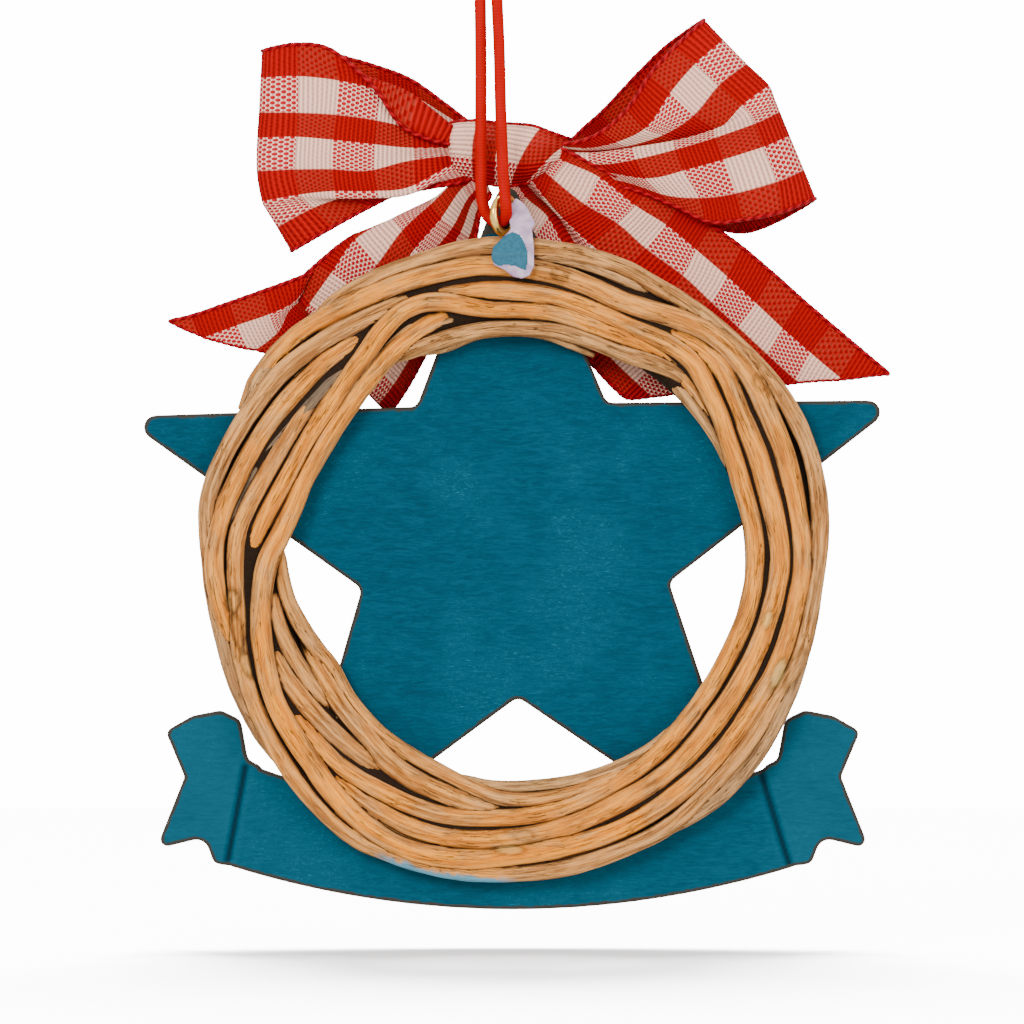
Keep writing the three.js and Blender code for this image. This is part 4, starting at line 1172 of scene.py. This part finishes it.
RIGHT_TAIL = Net(TAIL_ROWS, [
    (-40, 6.0, [(545, 138), (538, 146), (530, 156), (522, 164), (516, 170), (512, 174), (508, 178), (505, 182)]),
    (0, tuck(5.6, 1.0), [(572, 152), (566, 160.3), (553.6, 177), (545, 195.6), (536, 192), (526, 196), (520, 210), (513, 216)]),
    (37, tuck(5.4, 1.2), [(612.6, 173), (600, 176), (585, 202), (563, 216), (557, 212), (548, 216), (534, 236), (524, 243)]),
    (78, tuck(5.5, 0.9), [(648, 188), (635.7, 204), (618.4, 221.5), (592, 243), (581, 250), (570, 257), (555, 274), (545, 284)]),
    (115, tuck(5.7, 0.4), [(680, 203), (666.5, 223.4), (647, 246.5), (624, 270), (607, 286), (593, 299), (575, 316), (563, 326)]),
    (156, 5.9, [(712, 224), (697, 248.5), (683.9, 273.5), (661, 298), (642, 318), (627, 334), (608, 353), (595, 366)]),
    (193, 6.0, [(743, 246), (728, 275.4), (712.8, 300.5), (691, 325), (672, 345), (656, 362), (637, 381), (623, 395)]),
    (234, 6.3, [(774, 272), (757, 302), (739.7, 325.5), (722, 349), (702, 370), (686, 387), (666, 407), (651, 421)]),
    (271, 6.5, [(803, 298), (784, 327.4), (768.6, 352.5), (750, 373), (729, 394), (713, 411), (693, 431), (678, 445)]),
    (312, 6.3, [(833, 324), (812, 352), (797, 378), (779, 396), (758, 417), (741, 434), (721, 454), (706, 468)]),
    (349, 6.1, [(860, 347), (841.8, 377), (826, 399), (808, 419), (787, 440), (770, 457), (750, 477), (735, 491)]),
    (392, 6.0, [(891.9, 373.6), (873, 400), (858, 424), (840, 444), (819, 465), (802, 482), (782, 502), (767, 516)]),
])


def right_cut(v):
    marks = [(0, 392), (25, 352), (58, 318), (85, 292), (120, 262), (147, 240), (180, 216), (205, 197)]
    for (va, ua), (vb, ub) in zip(marks, marks[1:]):
        if v <= vb:
            return ua + (ub - ua) * (v - va) / (vb - va)
    return marks[-1][1]


LEFT_TAIL = Net(TAIL_ROWS, [
    (-10, 6.4, [(486, 158), (486, 162), (486, 167), (486, 172), (487, 178), (488, 183), (490, 188), (492, 192)]),
    (20, [6.9, 6.5, 5.9, 5.9, 6.3, 6.5, 6.7, 6.8], [(468, 176), (464, 174), (459, 177), (462, 186), (468, 196), (472, 201), (477, 207), (480, 211)]),
    (57, [7.0, 6.5, 5.7, 5.8, 6.2, 6.4, 6.6, 6.8], [(444, 197), (438, 194), (430, 203), (440, 217), (452, 226), (460, 231), (468, 236), (474, 241)]),
    (97, [6.9, 6.2, 5.7, 5.9, 6.2, 6.4, 6.6, 6.8], [(400, 222), (392, 217), (401.6, 228.6), (414, 247), (427, 258), (437, 266), (447, 274), (456, 280)]),
    (134, [6.4, 5.8, 5.8, 6.0, 6.2, 6.4, 6.6, 6.8], [(354, 234), (355, 238), (376, 262.7), (391, 280), (406, 294), (417, 305), (428, 318), (437, 328)]),
    (174, 6.2, [(317, 262), (331, 271), (353.6, 286.8), (370, 304), (388, 322), (400, 335), (413, 350), (421, 361)]),
    (208, 6.3, [(296, 282), (311, 299), (329, 312), (346, 330), (366, 350), (380, 364), (395, 380), (404, 391)]),
    (236, 6.5, [(280, 300), (296, 322), (312, 336), (328, 353), (348, 373), (362, 388), (377, 404), (388, 414)]),
])

LEFT_TIP = Net([0, 25, 58, 85], [
    (185, [6.0, 5.9, 5.8, 5.8], [(312, 271), (303, 288), (297, 301), (308, 312)]),
    (208, [5.6, 5.5, 5.4, 5.5], [(287, 281), (291.6, 302.3), (287, 311), (300, 324)]),
    (234, [5.5, 5.4, 5.4, 5.5], [(262, 290), (268.4, 313.5), (276, 331.6), (288, 344)]),
    (271, [5.7, 5.6, 5.6, 5.6], [(228, 302), (235.6, 324.7), (248.6, 351.4), (262, 368)]),
    (312, [6.0, 5.9, 5.9, 5.9], [(190, 315), (199, 338), (212, 365), (226, 384)]),
    (338, [6.1, 6.1, 6.1, 6.1], [(166.5, 320), (176, 344), (190, 371), (204, 390)]),
])


def tip_cut(v):
    marks = [(0, 338), (25, 307), (58, 265), (85, 246)]
    for (va, ua), (vb, ub) in zip(marks, marks[1:]):
        if v <= vb:
            return ua + (ub - ua) * (v - va) / (vb - va)
    return marks[-1][1]


KNOT_WRAP = Net([0, 33, 61, 94], [
    (0, [8.6, 8.2, 8.2, 8.6], [(446, 128), (446, 140), (448, 160), (452, 172)]),
    (14, [5.6, 4.4, 4.6, 6.2], [(452, 121), (451, 139), (454, 160), (458, 175)]),
    (37, [5.4, 3.5, 3.7, 6.0], [(476, 119), (474, 140), (475, 163), (478, 179)]),
    (56, [5.5, 3.4, 3.6, 6.0], [(494, 121), (492, 142), (492, 166), (494, 183)]),
    (78, [5.6, 3.5, 3.6, 6.0], [(507, 122), (505, 142), (504, 166), (506, 184)]),
    (100, [5.6, 3.7, 3.7, 6.0], [(532, 124), (526, 146), (520, 168), (516, 183)]),
    (120, [5.8, 4.2, 4.0, 6.0], [(552, 131), (546, 148), (538, 166), (530, 180)]),
    (140, [8.0, 6.6, 6.2, 7.4], [(574, 138), (569, 148), (560, 160), (548, 172)]),
])

ribbon_piece("leftLoop", LEFT_LOOP, 215, -215, shift=39.0)
ribbon_piece("rightLoop", RIGHT_LOOP, 222, -215, shift=39.0)
ribbon_piece("rightTail", RIGHT_TAIL, -40, right_cut, ends=("cut",))
ribbon_piece("leftTail", LEFT_TAIL, -10, 236, shift=59.0)
ribbon_piece("leftTip", LEFT_TIP, 185, tip_cut, 0, 85, shift=0.0, ends=("cut",), edges="low")
ribbon_piece("knotWrap", KNOT_WRAP, 0, 140, 0, 94, lay=lambda a, b: (b * 0.7, 25 + 0.87 * a + 0.3 * b * a / 140))

ribbon = join("ribbon_bow_cloth", cloth_parts)
selvedge = join("ribbon_bow_edges", edge_parts)
for made in (ribbon, selvedge):
    made.data.uv_layers[0].name = "cloth"
    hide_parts("ribbon_bow")
thick = ribbon.modifiers.new("thickness", "SOLIDIFY")
thick.thickness = 0.22 * MM
thick.offset = 0.0


# Floor and light
def stage():
    floor = Nodes("floor")
    floor.finish(floor.mix(floor.noise(floor.place(), 3.0), (0.93, 0.93, 0.93), (0.95, 0.95, 0.95)), 0.9,
                 Specular_IOR_Level=0.0)
    bm = bmesh.new()
    bmesh.ops.create_circle(bm, cap_ends=True, segments=64, radius=0.62)
    bmesh.ops.translate(bm, vec=(0, -0.05, -0.1262), verts=bm.verts)
    mesh = bpy.data.meshes.new("floor")
    bm.to_mesh(mesh)
    bm.free()
    mesh.materials.append(floor.material)
    made = bpy.data.objects.new("floor", mesh)
    made.visible_diffuse = False
    made.visible_glossy = False
    bpy.context.scene.collection.objects.link(made)
    return made


def studio(behind, around):
    """A white studio: the backdrop is brighter than the light that it gives."""
    world = bpy.data.worlds.new("studio")
    world.use_nodes = True
    nodes, links = world.node_tree.nodes, world.node_tree.links
    path = nodes.new("ShaderNodeLightPath")
    level = nodes.new("ShaderNodeMapRange")
    level.inputs["To Min"].default_value = around
    level.inputs["To Max"].default_value = behind
    links.new(path.outputs["Is Camera Ray"], level.inputs["Value"])
    links.new(level.outputs[0], nodes["Background"].inputs["Strength"])
    nodes["Background"].inputs["Color"].default_value = (1, 1, 1, 1)
    bpy.context.scene.world = world


def lamp(name, place, size, power, aim=(0.003, 0, -0.072), only=None):
    data = bpy.data.lights.new(name, "AREA")
    data.shape = "DISK"
    data.size = size
    data.energy = power
    made = bpy.data.objects.new(name, data)
    made.location = place
    made.rotation_euler = (Vector(aim) - Vector(place)).to_track_quat("-Z", "Y").to_euler()
    bpy.context.scene.collection.objects.link(made)
    if only:
        lit = bpy.data.collections.new(name + "_lights")
        lit.objects.link(only)
        made.light_linking.receiver_collection = lit


floor = stage()
studio(15.0, 1.5)
lamp("key", (-0.5, -1.2, 0.45), 0.5, 19)
lamp("fill", (0.75, -1.1, 0.1), 0.8, 8)
lamp("above", (0.0, 0.35, 0.9), 0.35, 7)
sun = bpy.data.lights.new("floor_sun", "SUN")
sun.energy = 56
sun.angle = math.radians(34)
high_sun = bpy.data.objects.new("floor_sun", sun)
high_sun.rotation_euler = (math.radians(-52), 0, 0)
bpy.context.scene.collection.objects.link(high_sun)
lit = bpy.data.collections.new("floor_sun_lights")
lit.objects.link(floor)
high_sun.light_linking.receiver_collection = lit
